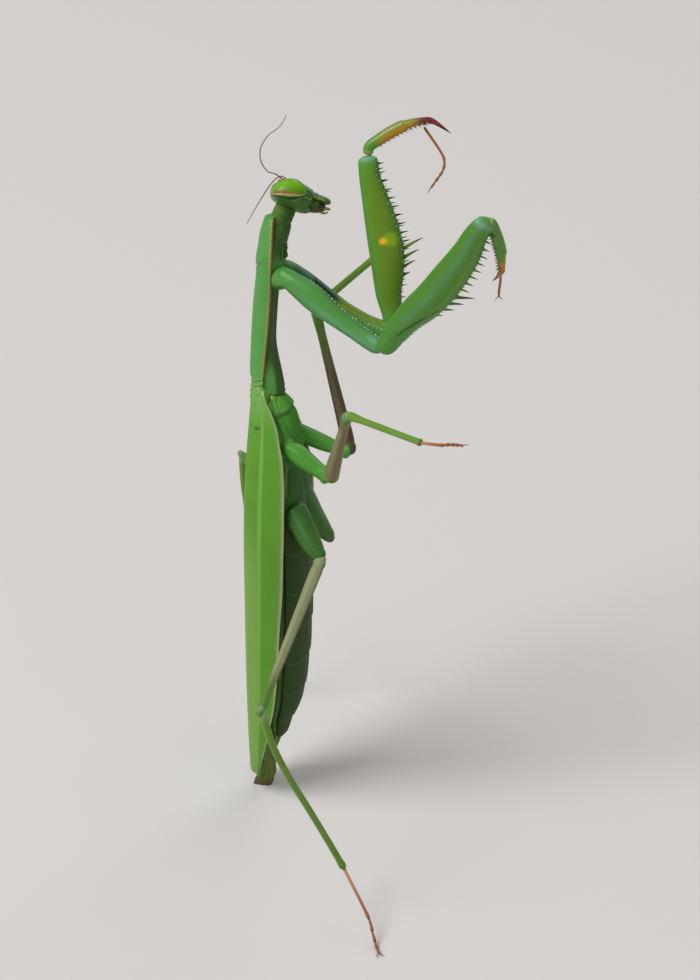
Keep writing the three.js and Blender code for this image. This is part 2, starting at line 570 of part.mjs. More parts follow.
const NECK_FOOT = V(-0.35, 5.9, 60.9);
const NECK_HEAD = V(0.45, 7.0, 63.2);
const neck = segment(NECK_FOOT, NECK_HEAD, V(-1, 0, 0), [[0, 0.85, 0.9], [0.35, 1.02, 1.05],
  [0.65, 1.02, 1.05], [1, 0.9, 1.0]]);
add('neck', clearOf(neck, [capsuleRoom, pronotumRoom, sternumRoom]), COLOURS.belly);

// ---- antennae -------------------------------------------------------------------------------
const FEELER_RADIUS = 0.25;
const FEELERS = {
  right: [V(0.2, 7.2, 65.0), V(-0.7, 6.6, 66.1), V(-1.4, 6.3, 66.4), V(-1.9, 6.0, 67.3),
    V(-2.0, 5.8, 68.1), V(-1.9, 5.7, 69.1), V(-1.4, 5.6, 70.1), V(-0.9, 5.6, 70.8),
    V(-0.3, 5.6, 71.3), V(0.3, 5.6, 72.0), V(0.8, 5.6, 73.0)],
  left: [V(0, 8.1, 64.8), V(-0.9, 8.5, 65.0), V(-2.1, 9.2, 63.8), V(-4.4, 11.4, 60.2),
    V(-6.5, 13.5, 56.6)],
};
const headRooms = [capsuleRoom, eye(1, GAP), eye(-1, GAP)];
for (const turn of [-1, 1]) {
  headRooms.push(bead([turn * 0.62, -0.25, 1.0], 0.36 + GAP));
}
for (const side of ['right', 'left']) {
  const feeler = tube(FEELERS[side], [FEELER_RADIUS, FEELER_RADIUS, FEELER_RADIUS], { steps: 11 });
  add(`antenna_${side}`, clearOf(feeler, headRooms), COLOURS.feeler, headJoint);
}

// ---- grasping fore legs ---------------------------------------------------------------------
const COXA_PROFILES = {
  right: [[-0.08, 0.8, 0.85, 0.1], [0.04, 0.95, 0.95, 0.1], [0.2, 1.0, 1.2, -0.08],
    [0.32, 1.0, 1.3, -0.18], [0.5, 0.9, 1.05, -0.38], [0.7, 0.78, 0.85, -0.46],
    [0.93, 0.74, 0.8, -0.42], [1, 0.5, 0.55, -0.25]],
  left: [[-0.06, 0.6, 0.6, 0], [0.05, 0.9, 0.9, 0], [0.2, 0.9, 1.05, -0.28], [0.4, 0.88, 1.0, -0.6],
    [0.55, 0.8, 0.9, -0.68], [0.75, 0.74, 0.82, -0.5], [0.93, 0.75, 0.82, -0.1], [1, 0.45, 0.5, 0]],
};
const TROCHANTER_PROFILE = [[0, 0.4, 0.45], [0.2, 0.8, 0.95], [0.75, 0.88, 1.1], [1, 0.7, 0.9]];
const FEMUR_PROFILES = {
  right: [[0.06, 0.6, 0.75, 0], [0.11, 0.88, 1.28, 0.04], [0.2, 1.0, 1.4, 0.03], [0.32, 1.1, 1.82, -0.32],
    [0.45, 1.1, 1.88, -0.62], [0.6, 1.03, 1.82, -0.62], [0.77, 0.92, 1.52, -0.42], [0.9, 0.8, 1.2, 0.05],
    [0.98, 0.68, 1.05, 0.03], [1.02, 0.45, 0.7, 0]],
  left: [[0.06, 0.5, 0.55, 0], [0.12, 0.8, 0.99, -0.2], [0.22, 0.95, 1.25, -0.12],
    [0.32, 1.0, 1.5, -0.33], [0.45, 1.0, 1.73, -0.52], [0.6, 0.93, 1.64, -0.42],
    [0.75, 0.82, 1.33, -0.14], [0.88, 0.75, 1.04, 0.11], [0.98, 0.68, 0.95, 0.06], [1.0, 0.5, 0.75, 0.06]],
};
const TIBIA_PROFILE = [[0, 0.35, 0.38, 0], [0.07, 0.48, 0.5, 0.7], [0.22, 0.52, 0.6, 0.86],
  [0.45, 0.52, 0.62, 1], [0.7, 0.48, 0.54, 0.88], [0.92, 0.42, 0.42, 0.4], [1, 0.36, 0.36, 0.18]];
const TIBIA_BOW = { right: 0.5, left: 0.9 };     // how far the tibia arches off a straight line
const DISCOIDAL_SPINES = [[0.31, 0.8], [0.36, 1.3], [0.41, 1.7], [0.46, 2.2]];  // [place, length]
const DISCOIDAL_LEAN = 0.4;
const OUTER_SPINES = [[0.58, 0.9], [0.69, 0.9], [0.8, 0.8], [0.89, 0.6]];
const INNER_SPINES = 10;
const TIBIA_OUTER_SPINES = 5;
const TIBIA_INNER_SPINES = 6;
const SPINE_RADIUS = 0.27;
const SPINE_ROOT = 0.42;     // how deep a spine's root sits in the limb

/** Half depth and shift of a profile at a place, for setting spines on its edge. */
function edgeOf(profile) {
  const deep = through(profile.map(([place, , half]) => [place, half]));
  const shift = through(profile.map(([place, , , move = 0]) => [place, move]));
  return (place) => deep(place) - shift(place);
}

/** Adds spines along the underside of a limb segment. rows: [place, length, sideways, lean]. */
function withSpines(shape, from, to, back, profile, rows) {
  const axis = to.clone().sub(from);
  const length = axis.length();
  axis.divideScalar(length);
  const across = axis.clone().cross(back).normalize();
  const belly = across.clone().cross(axis).multiplyScalar(-1);
  const edge = edgeOf(profile);
  return rows.reduce((sum, [place, long, sideways, lean]) => {
    const root = from.clone().addScaledVector(axis, place * length)
      .addScaledVector(belly, edge(place) - SPINE_ROOT).addScaledVector(across, sideways);
    const way = belly.clone().addScaledVector(axis, lean).addScaledVector(across, sideways * 0.35);
    const tip = root.clone().addScaledVector(way.normalize(), long + SPINE_ROOT);
    return sum.add(spine(root, tip, SPINE_RADIUS * Math.min(1, 0.6 + long / 4)));
  }, shape);
}

/** Evenly spaced spines of alternating length: [place, length, sideways, lean] rows. */
function comb(count, first, last, long, short, sideways, lean) {
  return Array.from({ length: count }, (_, i) => [first + ((last - first) * i) / (count - 1),
    i % 2 ? short : long, sideways, lean]);
}

for (const [side, turn] of [['right', -1], ['left', 1]]) {
  const leg = FORE_LEGS[side];
  const shoulder = jointAt(leg.base);
  const profile = FEMUR_PROFILES[side];
  const shank = leg.claw.clone().sub(leg.knee);
  const thigh = leg.knee.clone().sub(leg.trochanter).normalize();
  const thighBack = shank.clone().addScaledVector(thigh, -shank.dot(thigh)).multiplyScalar(-1);
  const outward = Math.sign(thigh.clone().cross(thighBack).y) * turn;
  const coxaBack = V(0.5, 0, 1);
  const coxaProfile = COXA_PROFILES[side];
  const coxaRoom = segment(leg.base, leg.trochanter, coxaBack, coxaProfile, { grow: GAP });
  const coxa = segment(leg.base, leg.trochanter, coxaBack, coxaProfile);
  add(`fore_coxa_${side}`, clearOf(coxa, [pronotumRoom, sternumRoom]), COLOURS.jade, shoulder);

  const hip = leg.trochanter.clone().addScaledVector(thigh, -0.5);
  const hipEnd = leg.trochanter.clone().addScaledVector(thigh, 1.5);
  const trochanterRoom = segment(hip, hipEnd, thighBack, TROCHANTER_PROFILE, { grow: GAP });
  const trochanter = segment(hip, hipEnd, thighBack, TROCHANTER_PROFILE);
  add(`fore_trochanter_${side}`, clearOf(trochanter, [coxaRoom]), COLOURS.jade, shoulder);

  const rows = [
    ...DISCOIDAL_SPINES.map(([place, long]) => [place, long, 0.1 * outward, DISCOIDAL_LEAN]),
    ...OUTER_SPINES.map(([place, long]) => [place, long, 0.5 * outward, 0.1]),
    ...comb(INNER_SPINES, 0.54, 0.93, 0.75, 0.45, -0.45 * outward, 0.1),
  ];
  const femurBare = segment(leg.trochanter, leg.knee, thighBack, profile);
  const femurRoom = segment(leg.trochanter, leg.knee, thighBack, profile, { grow: GAP });
  const femur = withSpines(femurBare, leg.trochanter, leg.knee, thighBack, profile, rows);
  add(`fore_femur_${side}`, clearOf(femur, [trochanterRoom, coxaRoom]), COLOURS.jade, shoulder);

  const shankAxis = shank.clone().normalize();
  const towardsThigh = leg.trochanter.clone().sub(leg.knee);
  const shankBack = towardsThigh.addScaledVector(shankAxis, -towardsThigh.dot(shankAxis))
    .multiplyScalar(-1);
  const shankOut = Math.sign(shankAxis.clone().cross(shankBack).y) * turn;
  const shankProfile = TIBIA_PROFILE.map(([place, wide, deep, bow]) => [place, wide, deep,
    bow * TIBIA_BOW[side]]);
  let tibia = segment(leg.knee, leg.claw, shankBack, shankProfile);
  tibia = withSpines(tibia, leg.knee, leg.claw, shankBack, shankProfile, [
    ...comb(TIBIA_OUTER_SPINES, 0.3, 0.92, 0.45, 0.35, 0.28 * shankOut, 0.6),
    ...comb(TIBIA_INNER_SPINES, 0.26, 0.94, 0.4, 0.3, -0.28 * shankOut, 0.6),
  ]);
  const hookBend = leg.claw.clone().lerp(leg.clawTip, 0.5).addScaledVector(
    shankBack.clone().normalize(), 0.18);
  tibia = tibia.add(tube([leg.claw.clone().addScaledVector(shankAxis, -0.5), leg.claw.clone(),
    hookBend, leg.clawTip], [0.32, 0.34, 0.26, 0.06], { steps: 6 }));
  add(`fore_tibia_${side}`, clearOf(tibia, [femurRoom]), COLOURS.jade, shoulder);

  const tibiaRoom = segment(leg.knee, leg.claw, shankBack, shankProfile, { grow: GAP });
  const hookRoom = tube([leg.claw.clone().addScaledVector(shankAxis, -0.5), leg.claw.clone(),
    hookBend, leg.clawTip], [0.36, 0.38, 0.3, 0.1], { steps: 6 });
  const foot = tube(leg.tarsus, [0.27, 0.25, 0.25, 0.25], { steps: leg.tarsus.length + 1 });
  add(`fore_tarsus_${side}`, clearOf(foot, [tibiaRoom, hookRoom]), COLOURS.tarsus, shoulder);
}

// ---- walking legs ---------------------------------------------------------------------------
const HIND_TIBIA_BOW = 0.5;
for (const [name, leg] of Object.entries(WALKING_LEGS)) {
  const [hip, thighHalf, kneeHalf, shinHalf] = leg.thick;
  const [pair, side] = name.split('_');
  const body = [metathoraxRoom, wingRooms[side]];
  body.push(pair === 'mid' ? mesothoraxRoom : trunk([28.4, 30, 33], ABDOMEN, GAP));
  const root = leg.base.clone().lerp(leg.coxa, -0.1);
  const bow = pair === 'hind' ? HIND_TIBIA_BOW : 0;
  const joint = jointAt(leg.base);
  const rows = {
    coxa: [[0, hip * 0.9, hip * 0.95, hip * 0.15], [0.22, hip * 0.92, hip * 0.95, hip * 0.18],
      [0.5, hip * 0.82, hip * 0.82, 0], [0.78, hip * 0.68, hip * 0.7, -0.05],
      [0.94, thighHalf * 1.1, thighHalf * 1.15], [1, thighHalf * 0.7, thighHalf * 0.7]],
    femur: [[0, thighHalf * 0.7, thighHalf * 0.7], [0.04, thighHalf, thighHalf],
      [0.3, thighHalf * 0.88, thighHalf * 0.92], [0.8, kneeHalf * 0.85, kneeHalf * 0.88],
      [0.96, kneeHalf, kneeHalf * 1.05], [1.01, kneeHalf * 0.6, kneeHalf * 0.65]],
    tibia: [[0, kneeHalf * 0.6, kneeHalf * 0.6, 0], [0.05, kneeHalf * 0.85, kneeHalf * 0.85, 0],
      [0.18, shinHalf * 1.05, shinHalf * 1.05, -bow * 0.8], [0.38, shinHalf, shinHalf, -bow],
      [0.6, shinHalf * 0.95, shinHalf * 0.95, -bow * 0.55],
      [0.85, shinHalf * 0.95, shinHalf * 0.95, -bow * 0.15], [1, shinHalf, shinHalf, 0]],
  };
  const parts = { coxa: [root, leg.coxa], femur: [leg.coxa, leg.knee], tibia: [leg.knee, leg.ankle] };
  const rooms = {};
  let before = body;
  for (const [piece, [from, to]] of Object.entries(parts)) {
    const back = V(0, 0, 1);
    const sides = piece === 'coxa' ? LIMB_SIDES : SHANK_SIDES;
    rooms[piece] = segment(from, to, back, rows[piece], { grow: GAP, sides });
    const shape = segment(from, to, back, rows[piece], { sides });
    const colour = piece === 'femur' ? COLOURS.brown : COLOURS.leaf;
    add(`${pair}_${piece}_${side}`, clearOf(shape, before), colour, joint);
    before = [rooms[piece]];
  }
  const foot = tube(leg.tarsus, [0.3, 0.26, 0.26, 0.25]);
  add(`${pair}_tarsus_${side}`, onGround(clearOf(foot, before)), COLOURS.tarsus, joint);
}

export default mantis;
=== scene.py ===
"""Finished surfaces of a praying mantis that stands reared up on the tips of its wings.

Lengths are in millimetres until a mesh is made. +Z runs up the trunk to the head, +X is the belly
side, +Y the left side, and the origin is on the floor under the folded wings.
"""
import math

import bpy
import numpy as np
from bpy.props import FloatProperty, FloatVectorProperty, PointerProperty
from mathutils import Matrix, Vector


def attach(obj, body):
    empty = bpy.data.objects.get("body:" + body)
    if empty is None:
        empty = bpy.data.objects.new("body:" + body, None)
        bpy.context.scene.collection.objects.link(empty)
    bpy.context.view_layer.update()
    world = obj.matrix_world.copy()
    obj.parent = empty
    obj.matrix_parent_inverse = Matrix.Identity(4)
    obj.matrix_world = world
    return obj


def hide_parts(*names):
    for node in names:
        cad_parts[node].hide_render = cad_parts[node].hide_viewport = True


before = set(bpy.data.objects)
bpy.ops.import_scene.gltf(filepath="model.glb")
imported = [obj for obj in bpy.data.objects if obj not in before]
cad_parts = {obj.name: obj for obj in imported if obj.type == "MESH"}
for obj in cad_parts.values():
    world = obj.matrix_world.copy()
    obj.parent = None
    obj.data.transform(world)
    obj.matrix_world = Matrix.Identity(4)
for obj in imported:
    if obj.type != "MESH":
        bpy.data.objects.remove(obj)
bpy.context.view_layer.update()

bl_info = {
    "name": "Reared Mantis",
    "version": (1, 0, 0),
    "blender": (4, 5, 0),
    "location": "3D View > Sidebar > Mantis",
    "description": "Builds the surfaces and finishes of a life-size praying mantis",
    "category": "Add Mesh",
}

MM = 0.001


# ---- shapes ----
def vec(*numbers):
    return np.array(numbers, float)


def unit(v):
    """Each vector divided by its length."""
    return v / np.maximum(np.linalg.norm(v, axis=-1, keepdims=True), 1e-12)


def through(*pairs):
    """A cubic through (place, value) pairs whose slope at each is that of its two neighbours."""
    place, value = np.array(pairs, float).T
    rise = np.r_[value[1:], value[-1]] - np.r_[value[0], value[:-1]]
    slope = rise / (np.r_[place[1:], place[-1]] - np.r_[place[0], place[:-1]])

    def at(x):
        x = np.clip(x, place[0], place[-1])
        i = np.clip(np.searchsorted(place, x) - 1, 0, len(place) - 2)
        span = place[i + 1] - place[i]
        t = (x - place[i]) / span
        ease = t * (1 - t) * ((1 - t) * slope[i] - t * slope[i + 1]) * span
        return value[i] + t * t * (3 - 2 * t) * (value[i + 1] - value[i]) + ease

    return at


def hill(x, at, width):
    """A smooth hill of height 1: e to the power of minus the squared distance over width."""
    return np.exp(-(((x - at) / width) ** 2))


def ramp(x, low, high):
    """0 below low and 1 above high, with 3t² - 2t³ between them."""
    t = np.clip((x - low) / (high - low), 0, 1)
    return t * t * (3 - 2 * t)


def fall(x, low, high):
    """1 below low and 0 above high."""
    return 1 - ramp(x, low, high)


def span(x, start, full, fading, end):
    """0 outside start and end, and 1 from full to fading."""
    return ramp(x, start, full) * fall(x, fading, end)


def columns(table, *wanted):
    """Cubics through the wanted columns of a table, over its first column."""
    return [through(*zip(table[:, 0], table[:, k])) for k in wanted]


def bunched(rows, share, low, high):
    """Places from low to high that crowd at both ends; share of their spacing is even."""
    x = np.linspace(0, 1, rows)
    return low + (high - low) * (share * x + (1 - share) * (0.5 - 0.5 * np.cos(np.pi * x)))


def curve(points, count):
    """A smooth path of count points through the given ones, by chord length."""
    points = np.array(points, float)
    chord = np.r_[0, np.cumsum(np.linalg.norm(np.diff(points, axis=0), axis=1) ** 0.7)]
    t = np.linspace(0, chord[-1], count)
    return np.stack([through(*zip(chord, points[:, k]))(t) for k in range(3)], 1)


def frames(path, back):
    """Directions across a path and towards its back, square to the path at each point."""
    along = unit(np.gradient(path, axis=0))
    across = unit(np.cross(along, back))
    return across, np.cross(across, along)


def circle(sides):
    """Cosines and sines of evenly spaced angles."""
    angle = 2 * np.pi * (np.arange(sides) + 0.5) / sides
    return np.cos(angle), np.sin(angle)


def rings(path, across, back, wide, deep, sides, square=1.0, relief=0.0):
    """Ovals round a path: middle + wide·cos·across + deep·sin·back, and relief pushes them out."""
    c, s = circle(sides)
    u = np.sign(c) * np.abs(c) ** square
    v = np.sign(s) * np.abs(s) ** square
    wide, deep = np.asarray(wide)[:, None], np.asarray(deep)[:, None]
    out = across[:, None] * (wide * u)[..., None] + back[:, None] * (deep * v)[..., None]
    size = np.linalg.norm(out, axis=-1)
    push = relief * np.minimum(1, 2.5 * size / max(size.max(), 1e-9))
    return path[:, None] + out * (1 + push / np.maximum(size, 1e-9))[..., None]


def rounded(distance, radius):
    """The half circle by which an end rounds off, by distance from it."""
    return np.sqrt(np.clip(1 - (1 - np.clip(distance / radius, 0, 1)) ** 2, 0, 1))


def limb(start, end, back, profile, rows=56, sides=32, square=1.0, relief=None, dome=0.7):
    """A straight segment. profile rows are (place, half width, half depth, shift to the back).
    relief is a height by place, cosine and sine. Gives the rings, place, cosine and sine."""
    start, end = np.array(start, float), np.array(end, float)
    table = np.array([tuple(row) + (0,) * (4 - len(row)) for row in profile], float)
    wide, deep, shift = columns(table, 1, 2, 3)
    length = np.linalg.norm(end - start)
    t = bunched(rows, 0.3, table[0, 0], table[-1, 0])
    axis = (end - start) / length
    across = unit(np.cross(axis, back))
    rear = np.cross(across, axis)
    path = start + (t * length)[:, None] * axis + shift(t)[:, None] * rear
    taper = rounded((t - t[0]) * length, dome * table[0, 2])
    taper = taper * rounded((t[-1] - t) * length, dome * table[-1, 2])
    c, s = circle(sides)
    height = 0.0 if relief is None else relief(t[:, None], c, s) + 0 * t[:, None]
    ones = np.ones((rows, 1))
    made = rings(path, ones * across, ones * rear, wide(t) * taper, deep(t) * taper, sides, square,
                 height)
    return made, t[:, None], c[None], s[None]


def tube(points, radii, rows=60, sides=16, relief=None):
    """A tube along a curve. radii are (place, radius) pairs."""
    path = curve(points, rows)
    t = np.linspace(0, 1, rows)
    across, rear = frames(path, vec(0, 0, 1))
    step = np.r_[0, np.cumsum(np.linalg.norm(np.diff(path, axis=0), axis=1))]
    size = through(*radii)(t)
    size = size * rounded(step, radii[0][1]) * rounded(step[-1] - step, radii[-1][1])
    c, s = circle(sides)
    height = 0.0 if relief is None else relief(t[:, None], c, s)
    return rings(path, across, rear, size, size, sides, 1.0, height), t[:, None], c, s


def sideways(axis):
    """Two directions square to an axis."""
    aside = unit(np.cross(axis, vec(0.31, 0.52, 0.79)))
    return aside, np.cross(aside, axis)


def thorns(roots, tips, radii, bend, sides=8, rows=9):
    """Curved cones: root + t·(tip - root) + t·(1 - t)·bend, of radius r·(1 - t)^0.8."""
    roots, tips = np.atleast_2d(roots), np.atleast_2d(tips)
    t = np.linspace(0, 1, rows)
    aside, rear = sideways(unit(tips - roots))
    path = roots[:, None] + t[:, None] * (tips - roots)[:, None]
    path = path + (t * (1 - t))[:, None] * np.broadcast_to(bend, roots.shape)[:, None]
    size = np.broadcast_to(radii, len(roots))[:, None] * (1 - 0.97 * t) ** 0.8
    c, s = circle(sides)
    out = aside[:, None, None] * c[:, None] + rear[:, None, None] * s[:, None]
    return path[:, :, None] + size[..., None, None] * out, t[None, :, None]


def beads(middles, radii, rows=7, sides=10, axis=(0, 0, 1), long=1.0):
    """Balls, or eggs that are long times as high along their axis."""
    middles = np.atleast_2d(middles)
    axis = np.broadcast_to(unit(np.atleast_2d(axis).astype(float)), middles.shape)
    aside, rear = sideways(axis)
    turn = np.linspace(-1.5, 1.5, rows)
    c, s = circle(sides)
    out = aside[:, None, None] * c[:, None] + rear[:, None, None] * s[:, None]
    out = np.cos(turn)[:, None, None] * out
    out = out + (long * np.sin(turn))[:, None, None] * axis[:, None, None]
    return middles[:, None, None] + np.broadcast_to(radii, len(middles))[:, None, None, None] * out


class Shape:
    """Closed surfaces gathered into one piece, with named values at their vertices."""

    def __init__(self):
        self.points, self.faces, self.values, self.count = [], [], [], 0

    def tubes(self, made, **values):
        """Adds tubes, an array [tube, ring, side, xyz] or one tube of it, closed at both ends.
        Volume is a sixth of the sum of triple products, and a tube of negative volume is turned."""
        made = np.asarray(made, float)
        made = made[None] if made.ndim == 3 else made
        n, rows, sides = made.shape[:3]
        index = np.arange(n * rows * sides).reshape(n, rows, sides)
        pole = n * rows * sides + np.arange(n * 2).reshape(n, 2)
        points = np.concatenate([made.reshape(-1, 3), made[:, [0, -1]].mean(2).reshape(-1, 3)])
        beside = np.roll(index, -1, 2)
        quads = np.stack([index[:, :-1], beside[:, :-1], beside[:, 1:], index[:, 1:]], -1)
        low = np.stack([np.broadcast_to(pole[:, :1], (n, sides)), beside[:, 0], index[:, 0]], -1)
        high = np.stack([np.broadcast_to(pole[:, 1:], (n, sides)), index[:, -1], beside[:, -1]], -1)
        middle = made.mean((1, 2))[:, None]
        p = [points[quads.reshape(n, -1, 4)[..., k]] - middle for k in range(4)]
        sign = np.einsum("nij,nij->n", p[0], np.cross(p[1], p[2]) + np.cross(p[2], p[3]))
        turned = sign < 0
        for faces in (quads.reshape(n, -1, 4), low, high):
            faces = np.where(turned[:, None, None], faces[..., ::-1], faces)
            self.faces += (faces.reshape(-1, faces.shape[-1]) + self.count).tolist()
        held = {}
        for key, value in values.items():
            value = np.broadcast_to(value, (n, rows, sides))
            held[key] = np.concatenate([value.ravel(), value[:, [0, -1]].mean(2).ravel()])
        self.points.append(points)
        self.values.append((len(points), held))
        self.count += len(points)
        return self

    def piece(self, name, material, nodes, slot):
        """Makes the Blender object, standing for CAD nodes and resting on the one body."""
        mesh = bpy.data.meshes.new(name)
        mesh.from_pydata(np.concatenate(self.points) * MM, [], self.faces)
        for key in sorted({key for _, held in self.values for key in held}):
            layer = mesh.attributes.new(key, "FLOAT", "POINT")
            data = [held.get(key, np.zeros(count)) for count, held in self.values]
            layer.data.foreach_set("value", np.concatenate(data).astype(np.float32))
        mesh.shade_smooth()
        mesh.materials.append(material)
        made = bpy.data.objects.new(name, mesh)
        bpy.context.scene.collection.objects.link(made)
        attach(made, "root")
        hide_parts(*nodes)


# ---- materials ----
class Number:
    """A number in a material. Arithmetic on it adds Math nodes."""

    def __init__(self, paint, socket):
        self.paint, self.socket = paint, socket

    def math(self, operation, *terms):
        return self.paint.node("ShaderNodeMath", {"operation": operation}, *terms)

    def __add__(self, other):
        return self.math("ADD", self, other)

    def __sub__(self, other):
        return self.math("SUBTRACT", self, other)

    def __rsub__(self, other):
        return self.math("SUBTRACT", other, self)

    def __mul__(self, other):
        return self.math("MULTIPLY", self, other)

    __radd__, __rmul__ = __add__, __mul__

    def limit(self):
        """The number held between 0 and 1."""
        return self.math("MINIMUM", self.math("MAXIMUM", self, 0.0), 1.0)


class Paint:
    """A material under construction."""

    def __init__(self, name):
        self.material = bpy.data.materials.new(name)
        self.material.use_nodes = True
        self.tree = self.material.node_tree
        self.shader = self.tree.nodes["Principled BSDF"]

    def node(self, kind, settings=None, *inputs, out=0, **named):
        """A node of a type with its settings, then the values or links of its sockets."""
        made = self.tree.nodes.new(kind)
        for key, value in (settings or {}).items():
            if key == "stops":
                while len(made.color_ramp.elements) < len(value):
                    made.color_ramp.elements.new(0.5)
                for stop, (place, colour) in zip(made.color_ramp.elements, value):
                    stop.position, stop.color = place, (*colour, 1)
            else:
                setattr(made, key, value)
        for key, value in [*enumerate(inputs), *named.items()]:
            self.feed(made.inputs[key], value)
        return Number(self, made.outputs[out])

    def feed(self, socket, value):
        """Links or sets one socket."""
        if isinstance(value, Number):
            self.tree.links.new(value.socket, socket)
        elif socket.type == "RGBA":
            socket.default_value = (*value[:3], 1)
        else:
            socket.default_value = value

    def value(self, name):
        """A named value of the piece's vertices."""
        return self.node("ShaderNodeAttribute", {"attribute_name": name}, out=2)

    def place(self):
        """Object coordinates in millimetres."""
        spot = self.node("ShaderNodeTexCoord", out=3)
        return self.node("ShaderNodeVectorMath", {"operation": "SCALE"}, spot, Scale=1000.0)

    def mix(self, first, second, share, how="MIX"):
        """A colour between two others."""
        made = self.tree.nodes.new("ShaderNodeMix")
        made.data_type, made.blend_type = "RGBA", how
        for key, value in ((0, share), (6, first), (7, second)):
            self.feed(made.inputs[key], value)
        return Number(self, made.outputs[2])

    def noise(self, place, scale, detail):
        """Cloudy noise between 0 and 1."""
        return self.node("ShaderNodeTexNoise", {}, Vector=place, Scale=scale, Detail=detail)

    def cells(self, place, scale, feature="F1"):
        """Distances in a field of cells."""
        return self.node("ShaderNodeTexVoronoi", {"feature": feature}, Vector=place, Scale=scale)

    def bump(self, height, distance, strength, **under):
        """Relief by height, over the relief of another normal where one is given."""
        return self.node("ShaderNodeBump", {}, Strength=strength, Distance=distance * MM,
                         Height=height, **under)

    def finish(self, colour, rough, normal=None, **constants):
        """Feeds the shader. Constants are set on its own sockets."""
        self.feed(self.shader.inputs["Base Color"], colour)
        self.feed(self.shader.inputs["Roughness"], rough)
        if normal is not None:
            self.feed(self.shader.inputs["Normal"], normal)
        for key, value in constants.items():
            self.feed(self.shader.inputs[key.replace("_", " ")], value)
        return self.material


def shade(colour, factor):
    """A colour made lighter or darker."""
    return tuple(min(1.0, c * factor) for c in colour)


MOTTLE, COAT_ROUGHNESS = 0.14, 0.3
SHADOW, SPECULAR = (0.75, 0.75, 0.7), 0.28


def cuticle(name, ground, rough=0.46, pits=0.02, grain=7.0, coat=0.1, **layers):
    """Insect cuticle: a mottled base, a colour for each vertex value and a finely pitted skin."""
    paint = Paint(name)
    place = paint.place()
    broad = paint.noise(place, 0.55, 3.0)
    fine = paint.noise(place, 5.0, 2.0)
    colour = paint.mix(shade(ground, 1 - MOTTLE), shade(ground, 1 + MOTTLE), broad)
    for key, layer in layers.items():
        share = (paint.value(key) * (0.75 + 0.5 * broad)).limit()
        colour = paint.mix(colour, layer, share)
    colour = paint.mix(colour, SHADOW, (fine - 0.45) * 0.5, "MULTIPLY")
    normal = paint.bump(paint.cells(place, grain), pits, 0.8)
    normal = paint.bump(broad, pits * 3, 0.5, Normal=normal)
    return paint.finish(colour, rough + (fine - 0.5) * 0.25, normal, Coat_Weight=coat,
                        Coat_Roughness=COAT_ROUGHNESS, Specular_IOR_Level=SPECULAR)


# ---- settings ----
def colour_setting(name, about, *default):
    return FloatVectorProperty(name=name, description=about, default=default, subtype="COLOR",
                               min=0.0, max=1.0)


def length_setting(name, about, default):
    return FloatProperty(name=name, description=about, default=default * MM, unit="LENGTH",
                         subtype="DISTANCE", min=0.0)


class MantisColours(bpy.types.PropertyGroup):
    """Colours of the animal, as linear light."""

    leaf: colour_setting("Leaf green", "Thorax and walking legs", 0.062, 0.27, 0.020)
    jade: colour_setting("Jade green", "Prothorax and fore coxae", 0.078, 0.29, 0.052)
    fern: colour_setting("Fern green", "Femora and tibiae of the fore legs", 0.085, 0.25, 0.020)
    wing: colour_setting("Wing green", "Leathery fore wings", 0.082, 0.26, 0.010)
    glaucous: colour_setting("Wing margin", "Waxy band along the back", 0.19, 0.37, 0.065)
    cream: colour_setting("Cream", "Leading edge of the wing and pale rims", 0.60, 0.64, 0.36)
    ochre: colour_setting("Ochre", "Side margin of the pronotum", 0.33, 0.20, 0.06)
    # painted shade: moss green is as dark as the shaded throat and neck
    moss: colour_setting("Moss green", "Throat and neck", 0.038, 0.115, 0.010)
    # painted shade: the abdomen's green is darkened to the shade it stands in
    belly: colour_setting("Belly green", "Abdomen", 0.021, 0.056, 0.004)
    olive: colour_setting("Olive", "Inner face of the femur", 0.125, 0.20, 0.004)
    orange: colour_setting("Orange", "Spot on the femur and inner tibia", 0.80, 0.42, 0.006)
    brown: colour_setting("Brown", "Femora of the walking legs", 0.20, 0.14, 0.05)
    rust: colour_setting("Rust", "Tarsi and feelers", 0.30, 0.095, 0.022)
    horn: colour_setting("Horn", "Claws, jaws and the tips of spines", 0.022, 0.006, 0.004)
    eye: colour_setting("Eye green", "Upper part of the compound eyes", 0.14, 0.38, 0.012)


class MantisSizes(bpy.types.PropertyGroup):
    """Sizes that a maker may want to change."""

    feeler: length_setting("Feeler radius", "Radius of an antenna near its root", 0.068)
    thorn: length_setting("Spine radius", "Radius of a fore-leg spine at its root", 0.18)
    wing_skin: length_setting("Wing thickness", "Thickness of a fore wing", 0.2)
    vein: length_setting("Vein height", "How far the main veins stand out", 0.07)
    tarsus: length_setting("Tarsus radius", "Radius of a foot segment", 0.16)
    plate_step: length_setting("Plate step", "How far an abdominal plate overhangs the next", 0.15)


def tint(name, factor=1.0):
    """A colour of the settings, made lighter or darker."""
    return shade(getattr(bpy.context.scene.mantis_colours, name), factor)


def size(name):
    """A length of the settings, in millimetres."""
    return getattr(bpy.context.scene.mantis_sizes, name) / MM


